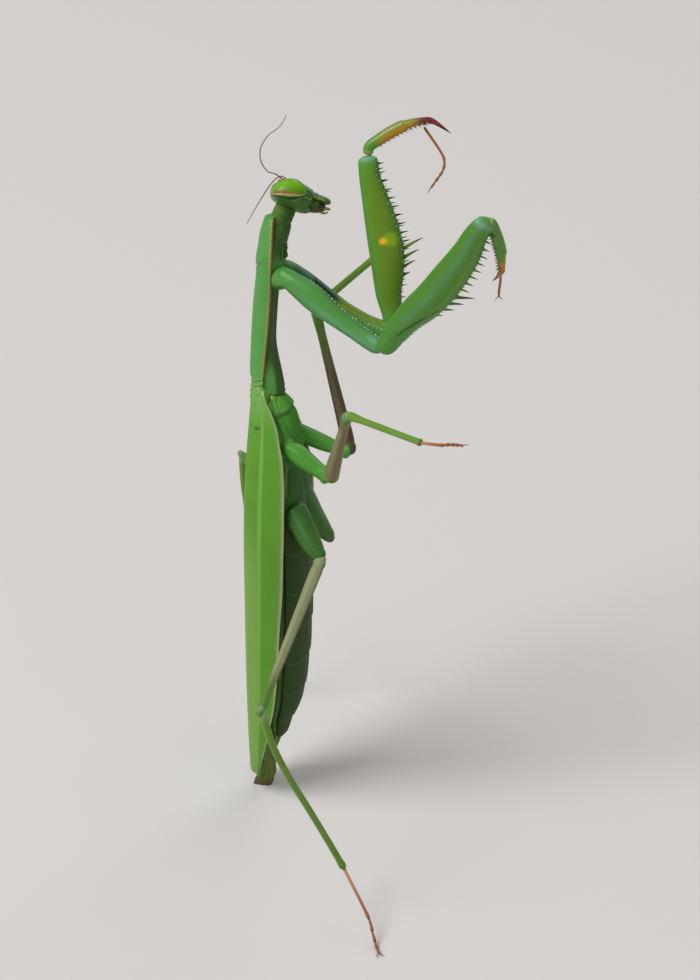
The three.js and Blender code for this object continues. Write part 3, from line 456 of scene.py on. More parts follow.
# ---- trunk ----
LEAN = through((30, 0), (37, 0.4), (44, 1.2), (46, 1.6), (54, 3.9), (62, 6.3))
ABDOMEN = dict(
    back=through((6.2, 0.9), (8, 0.5), (14, 0.4), (33, 0.4)),
    belly=through((6.2, 2.05), (7, 2.5), (8.7, 3.05), (11, 3.95), (15.5, 4.6), (21, 4.95),
                  (27, 5.0), (33, 4.6)),
    wide=through((6.2, 0.9), (7, 1.6), (8.7, 2.3), (11, 2.9), (15.5, 3.25), (21, 3.4),
                 (27, 3.45), (33, 3.3)))
THORAX = dict(
    back=through((33, 0.42), (41.6, 0.42), (43, 0), (43.5, -0.1), (45.4, -0.1)),
    belly=through((33, 4.7), (35.5, 4.6), (38, 4.0), (40.5, 3.75), (42.3, 3.45), (43.5, 3.05),
                  (45.4, 2.2)),
    wide=through((33, 3.25), (36, 3.3), (38, 3.1), (40, 2.72), (43.5, 1.75), (45.4, 1.35)))
PLATE_ENDS = [6.3, 9.2, 12.8, 16.6, 20.6, 24.9, 29.3, 33.0]
PLATE_ROWS = np.r_[-0.001, 0, 0.006, 0.015, 0.03, 0.05, 0.08, np.linspace(0.13, 1, 20)]
THORAX_ROWS = np.linspace(33.03, 45.3, 110)
PLEURAL_LINE = 1.25  # angle from the belly, in radians, at which belly and back plates meet
PLEURAL_RISE = 0.8  # how far the seam between belly and back plates climbs
# Seams of the flank, each from (height, arc from the belly) to another such place.
SUTURES = [((45.0, 3.8), (41.0, 1.5)), ((43.4, 4.4), (40.0, 2.8)), ((39.9, 4.3), (35.4, 3.4)),
           ((38.5, 2.2), (36.0, 2.9)), ((39.3, 0.6), (39.9, 4.5)), ((43.9, 0.4), (43.5, 3.8)),
           ((36.8, 4.5), (33.8, 4.3))]
CERCUS = [(1.6, 1.0, 8.3), (1.58, 1.5, 7.3), (1.5, 1.85, 6.3)]
CERCUS_RINGS = 9


def crease(z, arc, low, high, width):
    """A ridge or groove along a line on the flank: a hill by distance from the line."""
    low, high = vec(*low), vec(*high)
    way = high - low
    t = np.clip(((z - low[0]) * way[0] + (arc - low[1]) * way[1]) / (way @ way), 0, 1)
    return hill(np.hypot(z - low[0] - t * way[0], arc - low[1] - t * way[1]), 0, width)


def trunk():
    """Abdomen and wing-bearing thorax as one skin of level ovals, stepped where plates overlap."""
    plates = zip(PLATE_ENDS[:-1], PLATE_ENDS[1:])
    z = np.concatenate([low + PLATE_ROWS * (high - low) for low, high in plates] + [THORAX_ROWS])
    plate = np.concatenate([np.tile(PLATE_ROWS, 7), np.full(len(THORAX_ROWS), 0.5)])[:, None]
    upper = ramp(z, 32.8, 33.6)
    back, belly, wide = [ABDOMEN[k](z) * (1 - upper) + THORAX[k](z) * upper
                         for k in ("back", "belly", "wide")]
    sides = 128
    c, s = circle(sides)
    from_belly = np.arctan2(np.abs(c), s)[None]
    zz, chest = z[:, None], upper[:, None]
    abdomen = 1 - chest
    step = size("plate_step")
    lip = np.where(plate < 0, -step * 0.9, 0) - step * np.maximum(plate, 0) ** 1.5
    lip = lip - 0.05 * hill(plate, 0, 0.004)
    pleura = hill(from_belly, PLEURAL_LINE, 0.035)
    crimps = 0.03 * np.sin(zz * 9) * hill(from_belly, PLEURAL_LINE + 0.12, 0.1)
    keel = 0.06 * hill(from_belly, 0, 0.12)
    arc = from_belly * 3.0
    grooves = sum(crease(zz, arc, *line, 0.22) for line in SUTURES)
    ridges = sum(crease(zz - 0.32, arc - 0.34, *line, 0.3) for line in SUTURES)
    height = abdomen * (lip - 0.2 * pleura + crimps + keel)
    height = height + chest * (0.07 * ridges - 0.15 * grooves - 0.12 * hill(from_belly, 0, 0.1))
    arch = 1 - np.sqrt(np.clip(1 - ramp(from_belly, PLEURAL_LINE - 0.55, PLEURAL_LINE) ** 2, 0, 1))
    rise = np.where(from_belly > PLEURAL_LINE,
                    PLEURAL_RISE - 0.5 * ramp(from_belly, PLEURAL_LINE, 2.0), PLEURAL_RISE * arch)
    path = np.stack([(back + belly) / 2, LEAN(z), z], 1)
    ones = np.ones((len(z), 1))
    end = rounded(z - z[0], 0.7) * rounded(z[-1] - z, 1.3)
    made = rings(path, ones * vec(0, 1, 0), ones * vec(1, 0, 0), wide * end,
                 (belly - back) / 2 * end, sides, 0.85, height)
    made[..., 2] += rise * abdomen * span(zz, 5.5, 9, 31.5, 33)
    # painted shade: low darkens the lower thorax, which lies in shade, and a strip along the belly
    # keel
    low = np.maximum(0.85 * fall(zz, 38.0, 40.5), 0.25 * ramp(-from_belly, -0.7, -0.2))
    # painted shade: dark fills the pleural groove of the abdomen and the grooves of the flank's
    # seams; painted highlight: pale lights the ridge beside each seam
    return Shape().tubes(
        made, rim=abdomen * hill(plate, 0.008, 0.018) * (from_belly < PLEURAL_LINE + 0.3),
        dark=abdomen * pleura + chest * np.clip(grooves, 0, 1) * 0.5,
        bright=abdomen * hill(from_belly, PLEURAL_LINE + 0.17, 0.1),
        chest=chest * ramp(zz, 33.2, 36), pale=chest * np.clip(ridges, 0, 1) * 0.5,
        low=chest * low)


class MANTIS_OT_trunk(bpy.types.Operator):
    """Builds the abdomen and the thorax that carries the wings, as one skin"""

    bl_idname = "mantis.trunk"
    bl_label = "Trunk"

    def execute(self, context):
        skin = cuticle("belly_cuticle", tint("belly"), rough=0.65, coat=0.0,
                       bright=(0.06, 0.16, 0.02), chest=tint("leaf", 1.1),
                       # dark and low are painted shade, pale is a painted highlight on the seam
                       # ridges
                       dark=tint("belly", 0.3), low=(0.024, 0.075, 0.010),
                       pale=(0.11, 0.30, 0.08), rim=(0.075, 0.13, 0.03))
        nodes = [f"abdomen_{n}" for n in range(1, 8)] + ["metathorax", "mesothorax"]
        trunk().piece("trunk_skin", skin, nodes, "cuticle_dark")
        tails = Shape()
        for turn in (-1, 1):
            made, t, c, s = tube(
                [(x, y * turn, z) for x, y, z in CERCUS],
                [(0, 0.3), (0.3, 0.34), (0.75, 0.28), (1, 0.1)], 40, 14,
                relief=lambda t, c, s: 0.02 * np.cos(t * 2 * np.pi * CERCUS_RINGS))
            tails.tubes(made, bright=0.3)
        tails.piece("cerci", skin, ["cercus_right", "cercus_left"], "cuticle_dark")
        return {"FINISHED"}


# ---- prothorax ----
THORAX_FOOT, THORAX_TOP = vec(0.02, 1.38, 45.0), vec(-0.65, 6.35, 61.9)
THORAX_LENGTH = np.linalg.norm(THORAX_TOP - THORAX_FOOT)
THORAX_AXIS = (THORAX_TOP - THORAX_FOOT) / THORAX_LENGTH
THORAX_LEFT = unit(np.cross(THORAX_AXIS, vec(0.996, 0.086, 0)))
THORAX_FRONT = np.cross(THORAX_LEFT, THORAX_AXIS)
SHIELD_WIDTH = through((0, 1.1), (0.04, 1.6), (0.12, 1.72), (0.45, 1.6), (0.66, 1.95), (0.76, 2.3),
                       (0.86, 2.1), (0.95, 1.75), (1, 1.3))
SHIELD_ROOF = through((0, 1.2), (0.06, 1.6), (0.25, 1.85), (0.5, 1.97), (0.68, 1.88), (0.75, 2.02),
                      (0.82, 1.88), (0.9, 1.66), (1, 1.1))
UNDER_DEPTH = through((0, 1.9), (0.06, 1.7), (0.13, 1.35), (0.2, 0.95), (0.3, 0.5), (0.42, 0.38),
                      (0.6, 0.4), (0.72, 0.8), (0.82, 0.78), (0.88, 1.05), (0.95, 1.35), (1, 1.15))
UNDER_WIDTH = through((0, 1.2), (0.15, 1.35), (0.3, 1.1), (0.6, 1.1), (0.76, 1.7), (0.9, 1.4),
                      (1, 0.8))
ARCH = through((0, 0.05), (0.3, 0.2), (0.55, 0.3), (0.8, 0.33), (1, 0.1))  # bow towards the belly
ROOF_COLUMNS, FLAT_COLUMNS = 96, 14
TOOTH_SPACING, FOLD_SPACING = 0.42, 0.55
COLLAR_KNOBS = [(0.55, 1.0, 45.5), (1.2, 1.1, 44.9), (1.9, 1.55, 43.6)]
THROAT_COLUMNS, THROAT_BEADS = (28, 40, 50, 64), [0.2, 0.13, 0.17, 0.1]


def half_turn():
    """Cosines and sines over a half oval, with zeros of sine for the flat that closes it."""
    turn = np.r_[np.linspace(0, np.pi, ROOF_COLUMNS), np.zeros(FLAT_COLUMNS)]
    return np.cos(turn)[None], np.sin(turn)[None]


def half_column(places, width, depth, side):
    """Half ovals along the prothorax, closed by a flat: foot + place·axis + cos·left + sin·depth."""
    turn = np.linspace(0, np.pi, ROOF_COLUMNS)
    c = np.r_[np.cos(turn), np.linspace(-1, 1, FLAT_COLUMNS + 2)[1:-1]]
    s = np.r_[np.sin(turn), np.zeros(FLAT_COLUMNS)]
    centre = THORAX_FOOT + (places * THORAX_LENGTH)[:, None] * THORAX_AXIS
    centre = centre + ARCH(places)[:, None] * THORAX_FRONT
    made = centre[:, None] + (width * c)[..., None] * THORAX_LEFT
    return made + side * (depth * s)[..., None] * THORAX_FRONT


def pronotum():
    """The roofed shield: a keel along it, a curved furrow over the coxae and a fine toothed rim."""
    t = np.r_[np.linspace(0.072, 0.1, 20), np.linspace(0.104, 0.97, 220),
              np.linspace(0.972, 1.004, 20)]
    c, s = half_turn()
    p = t[:, None]
    end = rounded(p - 0.072, 0.025) ** 0.8 * rounded(1.004 - p, 0.02)
    furrow = hill(p, 0.75 - 0.035 * s ** 2, 0.012)
    keel = 0.11 * hill(c, 0, 0.07) * span(p, 0.02, 0.1, 0.66, 0.72)
    groove = 0.05 * hill(c, 0, 0.06) * span(p, 0.78, 0.82, 0.93, 0.97)
    lobe = 0.07 * hill(p, 0.69, 0.04) * hill(np.abs(c), 0.45, 0.3)
    hollow = 0.08 * hill(np.abs(c), 0.72, 0.16) * span(p, 0.02, 0.1, 0.9, 1)
    rim = hill(s, 0, 0.085)
    teeth = 0.5 + 0.5 * np.cos(p * THORAX_LENGTH * 2 * np.pi / TOOTH_SPACING)
    relief = keel - groove - 0.1 * furrow * s + lobe - hollow
    edge = rim * (0.05 + 0.03 * teeth * ramp(p, 0.66, 0.72))
    made = half_column(t, (SHIELD_WIDTH(p) + relief * np.abs(c) + edge) * end,
                       (SHIELD_ROOF(p) + relief) * (0.3 + 0.7 * end), -1)
    hind = hill(p, 0.078, 0.006) * ramp(s, 0.0, 0.3)
    border = ramp(rim, 0.25, 0.8) * ramp(1 - s, 0, 0.2)
    # painted shade: furrow darkens the curved furrow over the coxae
    return Shape().tubes(made, rim=np.clip(border + 0.8 * hind, 0, 1), furrow=furrow * s,
                         keel=keel * 9, teeth=0.6 * rim * teeth * ramp(p, 0.66, 0.75))


def collar(shape):
    """The soft folds between pronotum and wings: a short half column ringed by three ridges."""
    t = np.linspace(-0.13, 0.1, 90)
    p, s = t[:, None], half_turn()[1]
    ridge = hill(np.mod(p * THORAX_LENGTH + 0.5 * s + 0.2, FOLD_SPACING), 0.27, 0.12)
    end = rounded(p + 0.13, 0.12)
    made = half_column(t, (1.62 + 0.12 * ridge) * end, (1.5 + 0.12 * ridge) * end, -1)
    shape.tubes(made, fold=ridge)
    for turn in (-1, 1):
        knobs = [(x, 1.5 + turn * y, z) for x, y, z in COLLAR_KNOBS]
        shape.tubes(beads(knobs, [0.3, 0.34, 0.26], 12, 20, (-0.6, 0, 1), 1.5), fold=0.7)
    return shape


def underside():
    """The narrower underside of the prothorax, ribbed at its hind end, with painted shade along its
    middle.
    """
    t = np.r_[np.linspace(-0.01, 0.02, 8), np.linspace(0.025, 0.95, 180),
              np.linspace(0.953, 0.985, 12)]
    c, s = half_turn()
    p, flank = t[:, None], np.abs(c)
    end = rounded(p + 0.01, 0.02) * rounded(0.985 - p, 0.04)
    folds = 0.04 * np.cos(2 * np.pi * p / 0.03) * fall(p, 0.02, 0.1) * s
    band = hill(c, 0, 0.35)
    waist = hill(p, 0.725, 0.055)
    depth = UNDER_DEPTH(p) + folds + 0.06 * band - 0.08 * hill(flank, 0.5, 0.12)
    made = half_column(t, UNDER_WIDTH(p) * end, depth * (0.2 + 0.8 * end), 1)
    hip = waist * (1 - 0.6 * band) + fall(p, 0.09, 0.22) * ramp(flank, 0.62, 0.84)
    # painted shade: dark darkens the middle of the underside, most towards its hind end
    dark = band * (0.4 + 0.6 * hill(p, 0.2, 0.2)) - waist
    shape = Shape().tubes(made, dark=np.clip(dark, 0, 1), pale=folds * 5 * (folds > 0),
                          hip=np.clip(hip, 0, 1))
    for column in THROAT_COLUMNS:
        rows = np.searchsorted(t, np.linspace(0.768, 0.83, 4) + 0.004 * (column % 3))
        shape.tubes(beads(made[rows, column], THROAT_BEADS, 9, 12, (0.5, 0, 1), 1.4), hip=0.1)
    return shape


def neck():
    """The soft neck, ringed by slanting folds and lighter in front."""
    def folds(t, c):
        return np.cos(t * 2 * np.pi * 5 + c)

    made, t, c, s = limb(
        (-0.35, 5.9, 60.7), (0.45, 7.0, 63.3), vec(-1, 0, 0),
        [(0, 0.9, 0.95), (0.35, 1.02, 1.05), (0.65, 1.02, 1.05), (1, 0.9, 1.0)], 60, 48,
        relief=lambda t, c, s: 0.012 * folds(t, c) + 0.05 * hill(s, -0.4, 0.3))
    # painted shade: fold darkens the troughs between the folds
    return Shape().tubes(made, fold=0.3 - 0.3 * folds(t, c), near=ramp(s, -0.4, 0.7))


class MANTIS_OT_prothorax(bpy.types.Operator):
    """Builds the pronotum, the underside below it and the neck"""

    bl_idname = "mantis.prothorax"
    bl_label = "Prothorax"

    def execute(self, context):
        shell = cuticle("pronotum_cuticle", tint("jade"), pits=0.03, grain=6.0,
                        # furrow is painted shade in the furrow
                        keel=tint("jade", 1.25), furrow=tint("jade", 0.6), rim=tint("ochre"),
                        teeth=(0.42, 0.36, 0.18), fold=(0.20, 0.34, 0.07))
        collar(pronotum()).piece("pronotum_shell", shell, ["pronotum"], "cuticle_green")
        under = cuticle("sternum_cuticle", tint("moss", 0.9), rough=0.5,
                        # the dark moss ground and dark are painted shade
                        dark=(0.018, 0.05, 0.028), pale=(0.10, 0.17, 0.05), hip=tint("jade"))
        underside().piece("prothorax_skin", under, ["prothorax_underside"], "cuticle_green")
        soft = cuticle("neck_membrane", tint("moss"), rough=0.6, coat=0.0,
                       # fold is painted shade in the troughs of the folds
                       fold=tint("moss", 0.7), near=(0.07, 0.17, 0.02))
        neck().piece("neck_skin", soft, ["neck"], "cuticle_green")
        return {"FINISHED"}


# ---- head ----
HEAD = vec(0.32, 7.4, 63.98)
ROLL, YAW, PITCH = (math.radians(a) for a in (30, 20, 12))
HEAD_RIGHT = vec(math.sin(YAW) * math.cos(ROLL), -math.cos(YAW) * math.cos(ROLL), math.sin(ROLL))
LEVEL = vec(math.cos(YAW), math.sin(YAW), 0)
HEAD_MOUTH = LEVEL * math.cos(PITCH) - np.cross(HEAD_RIGHT, LEVEL) * math.sin(PITCH)
HEAD_FACE = -np.cross(HEAD_MOUTH, HEAD_RIGHT)

# Rows are (towards the mouth, half width, half depth, offset out of the face).
CAPSULE = [(-1.78, 1.5, 0.3, -0.25), (-1.62, 2.2, 0.62, -0.25), (-1.25, 2.75, 0.95, -0.22),
           (-0.6, 2.85, 1.2, -0.2), (0.1, 2.7, 1.28, -0.22), (0.8, 2.35, 1.32, -0.34),
           (1.4, 1.95, 1.27, -0.47), (2.0, 1.6, 1.13, -0.55), (2.45, 1.35, 0.97, -0.5)]
LIP = [(1.9, 1.22, 0.5, -0.02), (2.35, 1.22, 0.46, 0.04), (2.9, 1.1, 0.42, 0),
       (3.4, 0.95, 0.38, -0.1), (3.85, 0.75, 0.32, -0.12), (4.2, 0.45, 0.18, -0.18)]
LABIUM = [(1.95, 0.5, 0.2, -1.3), (2.4, 0.85, 0.26, -1.24), (3.0, 0.78, 0.26, -1.16),
          (3.7, 0.45, 0.17, -1.04)]
MANDIBLE = np.array([(2.2, 0.52, 0.42), (2.7, 0.56, 0.44), (3.15, 0.5, 0.36), (3.3, 0.44, 0.28),
                     (3.75, 0.2, 0.14)])
SHIELD_EDGE = through((0.55, 0.4), (0.9, 0.9), (1.5, 1.05), (2.2, 0.95))  # of the face's shield
SOCKET_AT, SOCKET_RADIUS = (0.62, -0.25), 0.36
# Places are (to the side, towards the mouth, out of the face).
CHIN_PALP = [(0.55, 3.2, -1.25), (0.7, 3.7, -1.3), (0.55, 4.1, -1.1)]
PALP = [(1.2, 2.0, -1.0), (1.5, 2.6, -1.15), (1.45, 3.3, -1.05), (1.15, 3.9, -0.8),
        (0.95, 4.25, -0.8)]


def in_head(right, mouth, face):
    """A place in the head by its distances to the right, towards the mouth and out of the face."""
    parts = np.broadcast_arrays(*[np.asarray(x, float) for x in (right, mouth, face)])
    return HEAD + sum(x[..., None] * way
                      for x, way in zip(parts, (HEAD_RIGHT, HEAD_MOUTH, HEAD_FACE)))


def head_rings(table, rows, sides, relief, dome=0.5, tip=None):
    """Ovals across the head, by rows of a table. dome and tip are how its ends round off."""
    table = np.array(table, float)
    wide, deep, face = columns(table, 1, 2, 3)
    m = bunched(rows, 0.4, table[0, 0], table[-1, 0])
    taper = rounded(m - m[0], dome * table[0, 2]) * rounded(m[-1] - m, (tip or dome) * table[-1, 2])
    c, s = circle(sides)
    r = c * wide(m)[:, None]
    ones = np.ones((rows, 1))
    made = rings(in_head(0, m, face(m)), ones * HEAD_RIGHT, ones * HEAD_FACE, wide(m) * taper,
                 deep(m) * taper, sides, 0.9, relief(m[:, None], r, s))
    return made, m[:, None], r, s[None]


def from_socket(m, r):
    """Distance from the middle of the nearer feeler's socket."""
    return np.hypot(np.abs(r) - SOCKET_AT[0], m - SOCKET_AT[1])


def capsule_relief(m, r, s):
    """Furrows of the crown, the keeled shield above the mouth and the ridge down each cheek."""
    front = ramp(s, 0.0, 0.4)
    crown = sum(hill(r, at, 0.12) for at in (-1.35, -0.5, 0.5, 1.35)) * fall(m, -0.9, -0.4)
    edge = 0.95 * SHIELD_EDGE(m)
    inside = span(m, 0.5, 0.75, 2.2, 2.4) * (1 - ramp(np.abs(r), edge - 0.05, edge + 0.12))
    rim = hill(np.abs(r), edge, 0.1) * span(m, 0.5, 0.8, 2.1, 2.4)
    sockets = hill(from_socket(m, r), SOCKET_RADIUS, 0.13)
    cheek = hill(s, 0.12, 0.16) * ramp(m, 0.5, 1.2)
    chin = -0.1 * hill(np.abs(r), 0.7, 0.2) * ramp(-s, 0.3, 0.7) * ramp(m, 0, 1)
    face = 0.2 * inside + 0.07 * rim - 0.07 * crown + 0.12 * sockets
    return front * face + 0.09 * cheek + chin


def capsule():
    """The head without eyes and mouth, with three simple eyes and a row of pale cheek beads."""
    made, m, r, s = head_rings(CAPSULE, 110, 144, capsule_relief, tip=0.12)
    # painted highlight: pale lights the rim of the face's shield
    rim = hill(np.abs(r), 0.95 * SHIELD_EDGE(m), 0.07) * ramp(m, 0.5, 0.8) * ramp(s, 0, 0.3)
    shape = Shape().tubes(
        made, front=ramp(s, 0.25, 0.5) * ramp(m, -0.2, 0.6),
        cheek=hill(s, 0.16, 0.06) * ramp(m, 0.7, 1.2), nape=ramp(-s, -0.1, 0.2), pale=0.5 * rim,
        socket=hill(from_socket(m, r), SOCKET_RADIUS, 0.1) * ramp(s, 0.2, 0.5))
    simple_eyes = in_head([0, 0.42, -0.42], [-0.72, -1.12, -1.12], [1.02, 0.86, 0.86])
    shape.tubes(beads(simple_eyes, 0.17, 9, 14), pale=0.6)
    # painted highlight: the pale bead row stands for glints along the ridge
    at = np.linspace(0.7, 2.2, 9)
    for turn in (-1, 1):
        shape.tubes(beads(in_head(turn * 0.95, at, 1.09 - 0.36 * (at - 0.6)), 0.07), pale=1.0)
    return shape


def lip():
    """The upper lip, creased across its middle."""
    made, m, r, s = head_rings(
        LIP, 64, 64, dome=0.2, tip=1.0,
        relief=lambda m, r, s: -0.09 * hill(m, 2.95, 0.06) * ramp(s, -0.5, 0.2)
        + 0.04 * hill(m, 2.6, 0.12) + 0.05 * hill(m, 3.5, 0.25) * ramp(s, 0, 0.5))
    cheek = hill(s, 0.0, 0.16) * ramp(m, 2.3, 2.6) + 0.8 * ramp(m, 4.02, 4.17)
    return Shape().tubes(made, front=0.7 * ramp(s, -0.2, 0.4) * fall(m, 3.3, 4.0),
                         nape=ramp(m, 3.2, 3.9), cheek=np.clip(cheek, 0, 1),
                         pale=0.4 * hill(m, 2.95, 0.06))


def jaws():
    """The two mandibles, which narrow and darken to their tips."""
    shape = Shape()
    m = np.linspace(2.2, 3.8, 40)
    ones, end = np.ones((len(m), 1)), rounded(3.8 - m, 0.2)
    wide, deep = columns(MANDIBLE, 1, 2)
    for turn in (-1, 1):
        path = in_head(turn * (0.57 - 0.25 * ramp(m, 3.0, 3.8)), m, -0.66)
        shape.tubes(rings(path, ones * HEAD_RIGHT, ones * HEAD_FACE, wide(m) * end, deep(m) * end,
                          24), tip=ramp(m, 2.95, 3.2)[:, None])
    return shape


def jointed(points, radius, joints, rows=60, sides=14):
    """A tube that narrows at each joint and swells before it, as a foot or a palp does."""
    t = np.linspace(0, 1, rows)[:, None]
    pinch = sum(hill(t, at, 0.012) for at in joints)
    bulge = sum(hill(t, at - 0.045, 0.03) for at in joints)
    made, t, c, s = tube(points, [(0, radius), (1, radius * 0.8)], rows, sides,
                         relief=lambda *_: radius * (0.25 * bulge - 0.45 * pinch))
    return made, t, np.clip(pinch + 0 * c, 0, 1)


def lower_lip():
    """The notched lower lip with its two short palps."""
    made, m, r, s = head_rings(
        LABIUM, 50, 48, lambda m, r, s: -0.1 * hill(r, 0, 0.08) * ramp(m, 2.8, 3.2))
    shape = Shape().tubes(
        made, pale=0.9 * hill(s, -0.75, 0.2) * ramp(m, 2.9, 3.4) + 0.7 * ramp(m, 3.55, 3.68))
    for turn in (-1, 1):
        points = [in_head(turn * x, m, out) for x, m, out in CHIN_PALP]
        shape.tubes(jointed(points, 0.055, (0.3, 0.65), 36)[0], pale=0.7)
    return shape


def palps():
    """The two long palps of five segments."""
    shape = Shape()
    for turn in (-1, 1):
        points = [in_head(turn * x, m, out) for x, m, out in PALP]
        made, t, joint = jointed(points, 0.085, (0.12, 0.25, 0.5, 0.75), 80)
        shape.tubes(made, joint=joint, tip=ramp(t, 0.72, 0.9))
    return shape


class MANTIS_OT_head(bpy.types.Operator):
    """Builds the head capsule, the lip, the jaws and the mouth parts"""

    bl_idname = "mantis.head"
    bl_label = "Head"

    def execute(self, context):
        skin = cuticle("head_cuticle", tint("moss", 1.15), rough=0.34, pits=0.015, coat=0.2,
                       front=(0.012, 0.10, 0.026), cheek=(0.30, 0.32, 0.05),
                       # pale: the simple eyes' own pale colour, and painted highlights on the shield
                       # rim and bead row
                       pale=(0.30, 0.45, 0.22), socket=(0.2, 0.26, 0.06),
                       nape=(0.055, 0.15, 0.015))
        capsule().piece("head_capsule", skin, ["head"], "cuticle_green")
        lip().piece("upper_lip", skin, ["labrum"], "cuticle_green")
        horn = cuticle("jaw_horn", tint("moss", 1.1), rough=0.35, coat=0.25,
                       tip=(0.045, 0.012, 0.006))
        jaws().piece("jaws", horn, ["mandible_right", "mandible_left"], "jaw")
        chin = cuticle("lower_lip_cuticle", (0.022, 0.062, 0.010), rough=0.4,
                       pale=(0.42, 0.28, 0.05))
        lower_lip().piece("lower_lip", chin, ["labium"], "jaw")
        thread = cuticle("palp_cuticle", (0.075, 0.050, 0.012), rough=0.4,
                         joint=(0.02, 0.012, 0.006), tip=(0.36, 0.22, 0.04))
        palps().piece("palps", thread, ["palp_right", "palp_left"], "palp")
        return {"FINISHED"}


EYE_AT, EYE_OUT, EYE_LONG = 2.72, 1.2, 1.69  # place to the side, bulge and half length
EYE_RISE, EYE_DROP, EYE_SINK, EYE_TAPER = 1.4, 0.86, 0.27, 0.1
EYE_TILT = math.radians(14)
BAND_EDGE, BAND_TOP = 0.445, 0.512  # levels between which the pale band runs round the eye


def eye_glass():
    """Bands by level round the eye, dark below, pale at the middle and green above."""
    paint = Paint("compound_eye")
    place = paint.place()
    wander = paint.noise(place, 1.5, 2.0) - 0.5
    level = (paint.value("level") + wander * 0.03).limit()
    bands = paint.node("ShaderNodeValToRGB", {"stops": [
        (0.0, tint("moss", 1.3)), (0.22, (0.055, 0.16, 0.015)), (0.285, (0.03, 0.08, 0.02)),
        (0.30, (0.010, 0.035, 0.025)), (0.36, (0.018, 0.055, 0.035)), (0.385, (0.10, 0.17, 0.06)),
        (0.425, (0.17, 0.24, 0.08)), (BAND_EDGE, (0.48, 0.42, 0.13)), (0.485, (0.52, 0.38, 0.13)),
        (0.505, (0.24, 0.09, 0.04)), (0.56, (0.20, 0.15, 0.04)), (0.63, tint("eye", 0.8)),
        (0.78, tint("eye")), (1.0, tint("eye", 0.7))]}, level)
    colour = paint.mix(bands, tint("eye", 0.7), paint.value("clear"))
    colour = paint.mix(colour, (0.42, 0.24, 0.09), paint.value("pole"))
    colour = paint.mix(colour, (0.01, 0.01, 0.008), paint.value("pupil"))
    normal = paint.bump(paint.cells(place, 22.0), 0.006, 0.5)
    return paint.finish(colour, 0.3, normal, Coat_Weight=0.09, Coat_Roughness=0.14,
                        Specular_IOR_Level=0.15)


def eye(turn):
    """A lens-shaped ball, higher than it is deep, whose level runs round its long axis."""
    y = np.sin(np.linspace(-np.pi / 2, np.pi / 2, 100))[1:-1, None]
    girth = np.sqrt(1 - y * y)
    c, s = circle(120)
    x, z = girth * c, girth * s
    deep = z * np.where(z > 0, EYE_RISE, EYE_DROP) * (1 + EYE_TAPER * y) - EYE_SINK
    long = y * EYE_LONG
    made = in_head(turn * (EYE_AT + x * EYE_OUT),
                   long * math.cos(EYE_TILT) - deep * math.sin(EYE_TILT),
                   long * math.sin(EYE_TILT) + deep * math.cos(EYE_TILT))
    level = 0.545 + np.arctan2(z, np.maximum(x, 0.02)) / np.pi + 0.065 * y + 0.035 * y * y
    level = np.where(level < BAND_EDGE, BAND_EDGE - (BAND_EDGE - level) / np.maximum(girth, 0.3),
                     level)
    return Shape().tubes(
        made, level=level, pupil=hill(np.hypot(y + 0.2, (level - 0.48) * 4), 0, 0.06) * (x > 0),
        clear=0.85 * ramp(y, -0.1, 0.5) * span(level, 0.5, BAND_TOP, 0.6, 0.7),
        pole=0.7 * ramp(-y, 0.78, 0.95) * span(level, 0.3, 0.4, 0.56, 0.64))


class MANTIS_OT_eyes(bpy.types.Operator):
    """Builds the banded compound eyes"""

    bl_idname = "mantis.eyes"
    bl_label = "Eyes"

    def execute(self, context):
        glass = eye_glass()
        for turn, side in ((1, "right"), (-1, "left")):
            eye(turn).piece(f"compound_eye_{side}", glass, [f"eye_{side}"], "compound_eye")
        return {"FINISHED"}


FEELERS = {
    "right": [(0.2, 7.2, 65.0), (-0.7, 6.6, 66.1), (-1.4, 6.3, 66.4), (-1.9, 6.0, 67.3),
              (-2.0, 5.8, 68.1), (-1.9, 5.7, 69.1), (-1.4, 5.6, 70.1), (-0.9, 5.6, 70.8),
              (-0.3, 5.6, 71.3), (0.3, 5.6, 72.0), (0.8, 5.6, 73.0)],
    "left": [(0, 8.1, 64.8), (-0.9, 8.5, 65.0), (-2.1, 9.2, 63.8), (-4.4, 11.4, 60.2),
             (-6.5, 13.5, 56.6)],
}
# Place along a feeler and radius in parts of the setting.
FEELER_TAPER = [(0, 1.8), (0.04, 1.9), (0.07, 1), (0.5, 0.8), (1, 0.5)]
FEELER_SEGMENTS = 70


class MANTIS_OT_antennae(bpy.types.Operator):
    """Builds the two feelers of many short segments"""

    bl_idname = "mantis.antennae"
    bl_label = "Antennae"

    def execute(self, context):
        thread = cuticle("feeler_cuticle", tint("rust"), rough=0.45, ring=tint("rust", 0.7),
                         root=(0.2, 0.34, 0.06))
        for side, points in FEELERS.items():
            made, t, c, s = tube(
                points, [(p, size("feeler") * r) for p, r in FEELER_TAPER], 420, 10,
                relief=lambda t, c, s: 0.012 * np.cos(t * 2 * np.pi * FEELER_SEGMENTS))
            shape = Shape().tubes(made, ring=0.5 - 0.5 * np.cos(t * 2 * np.pi * FEELER_SEGMENTS),
                                  root=fall(t, 0.03, 0.06))
            shape.piece(f"feeler_{side}", thread, [f"antenna_{side}"], "antenna")
        return {"FINISHED"}
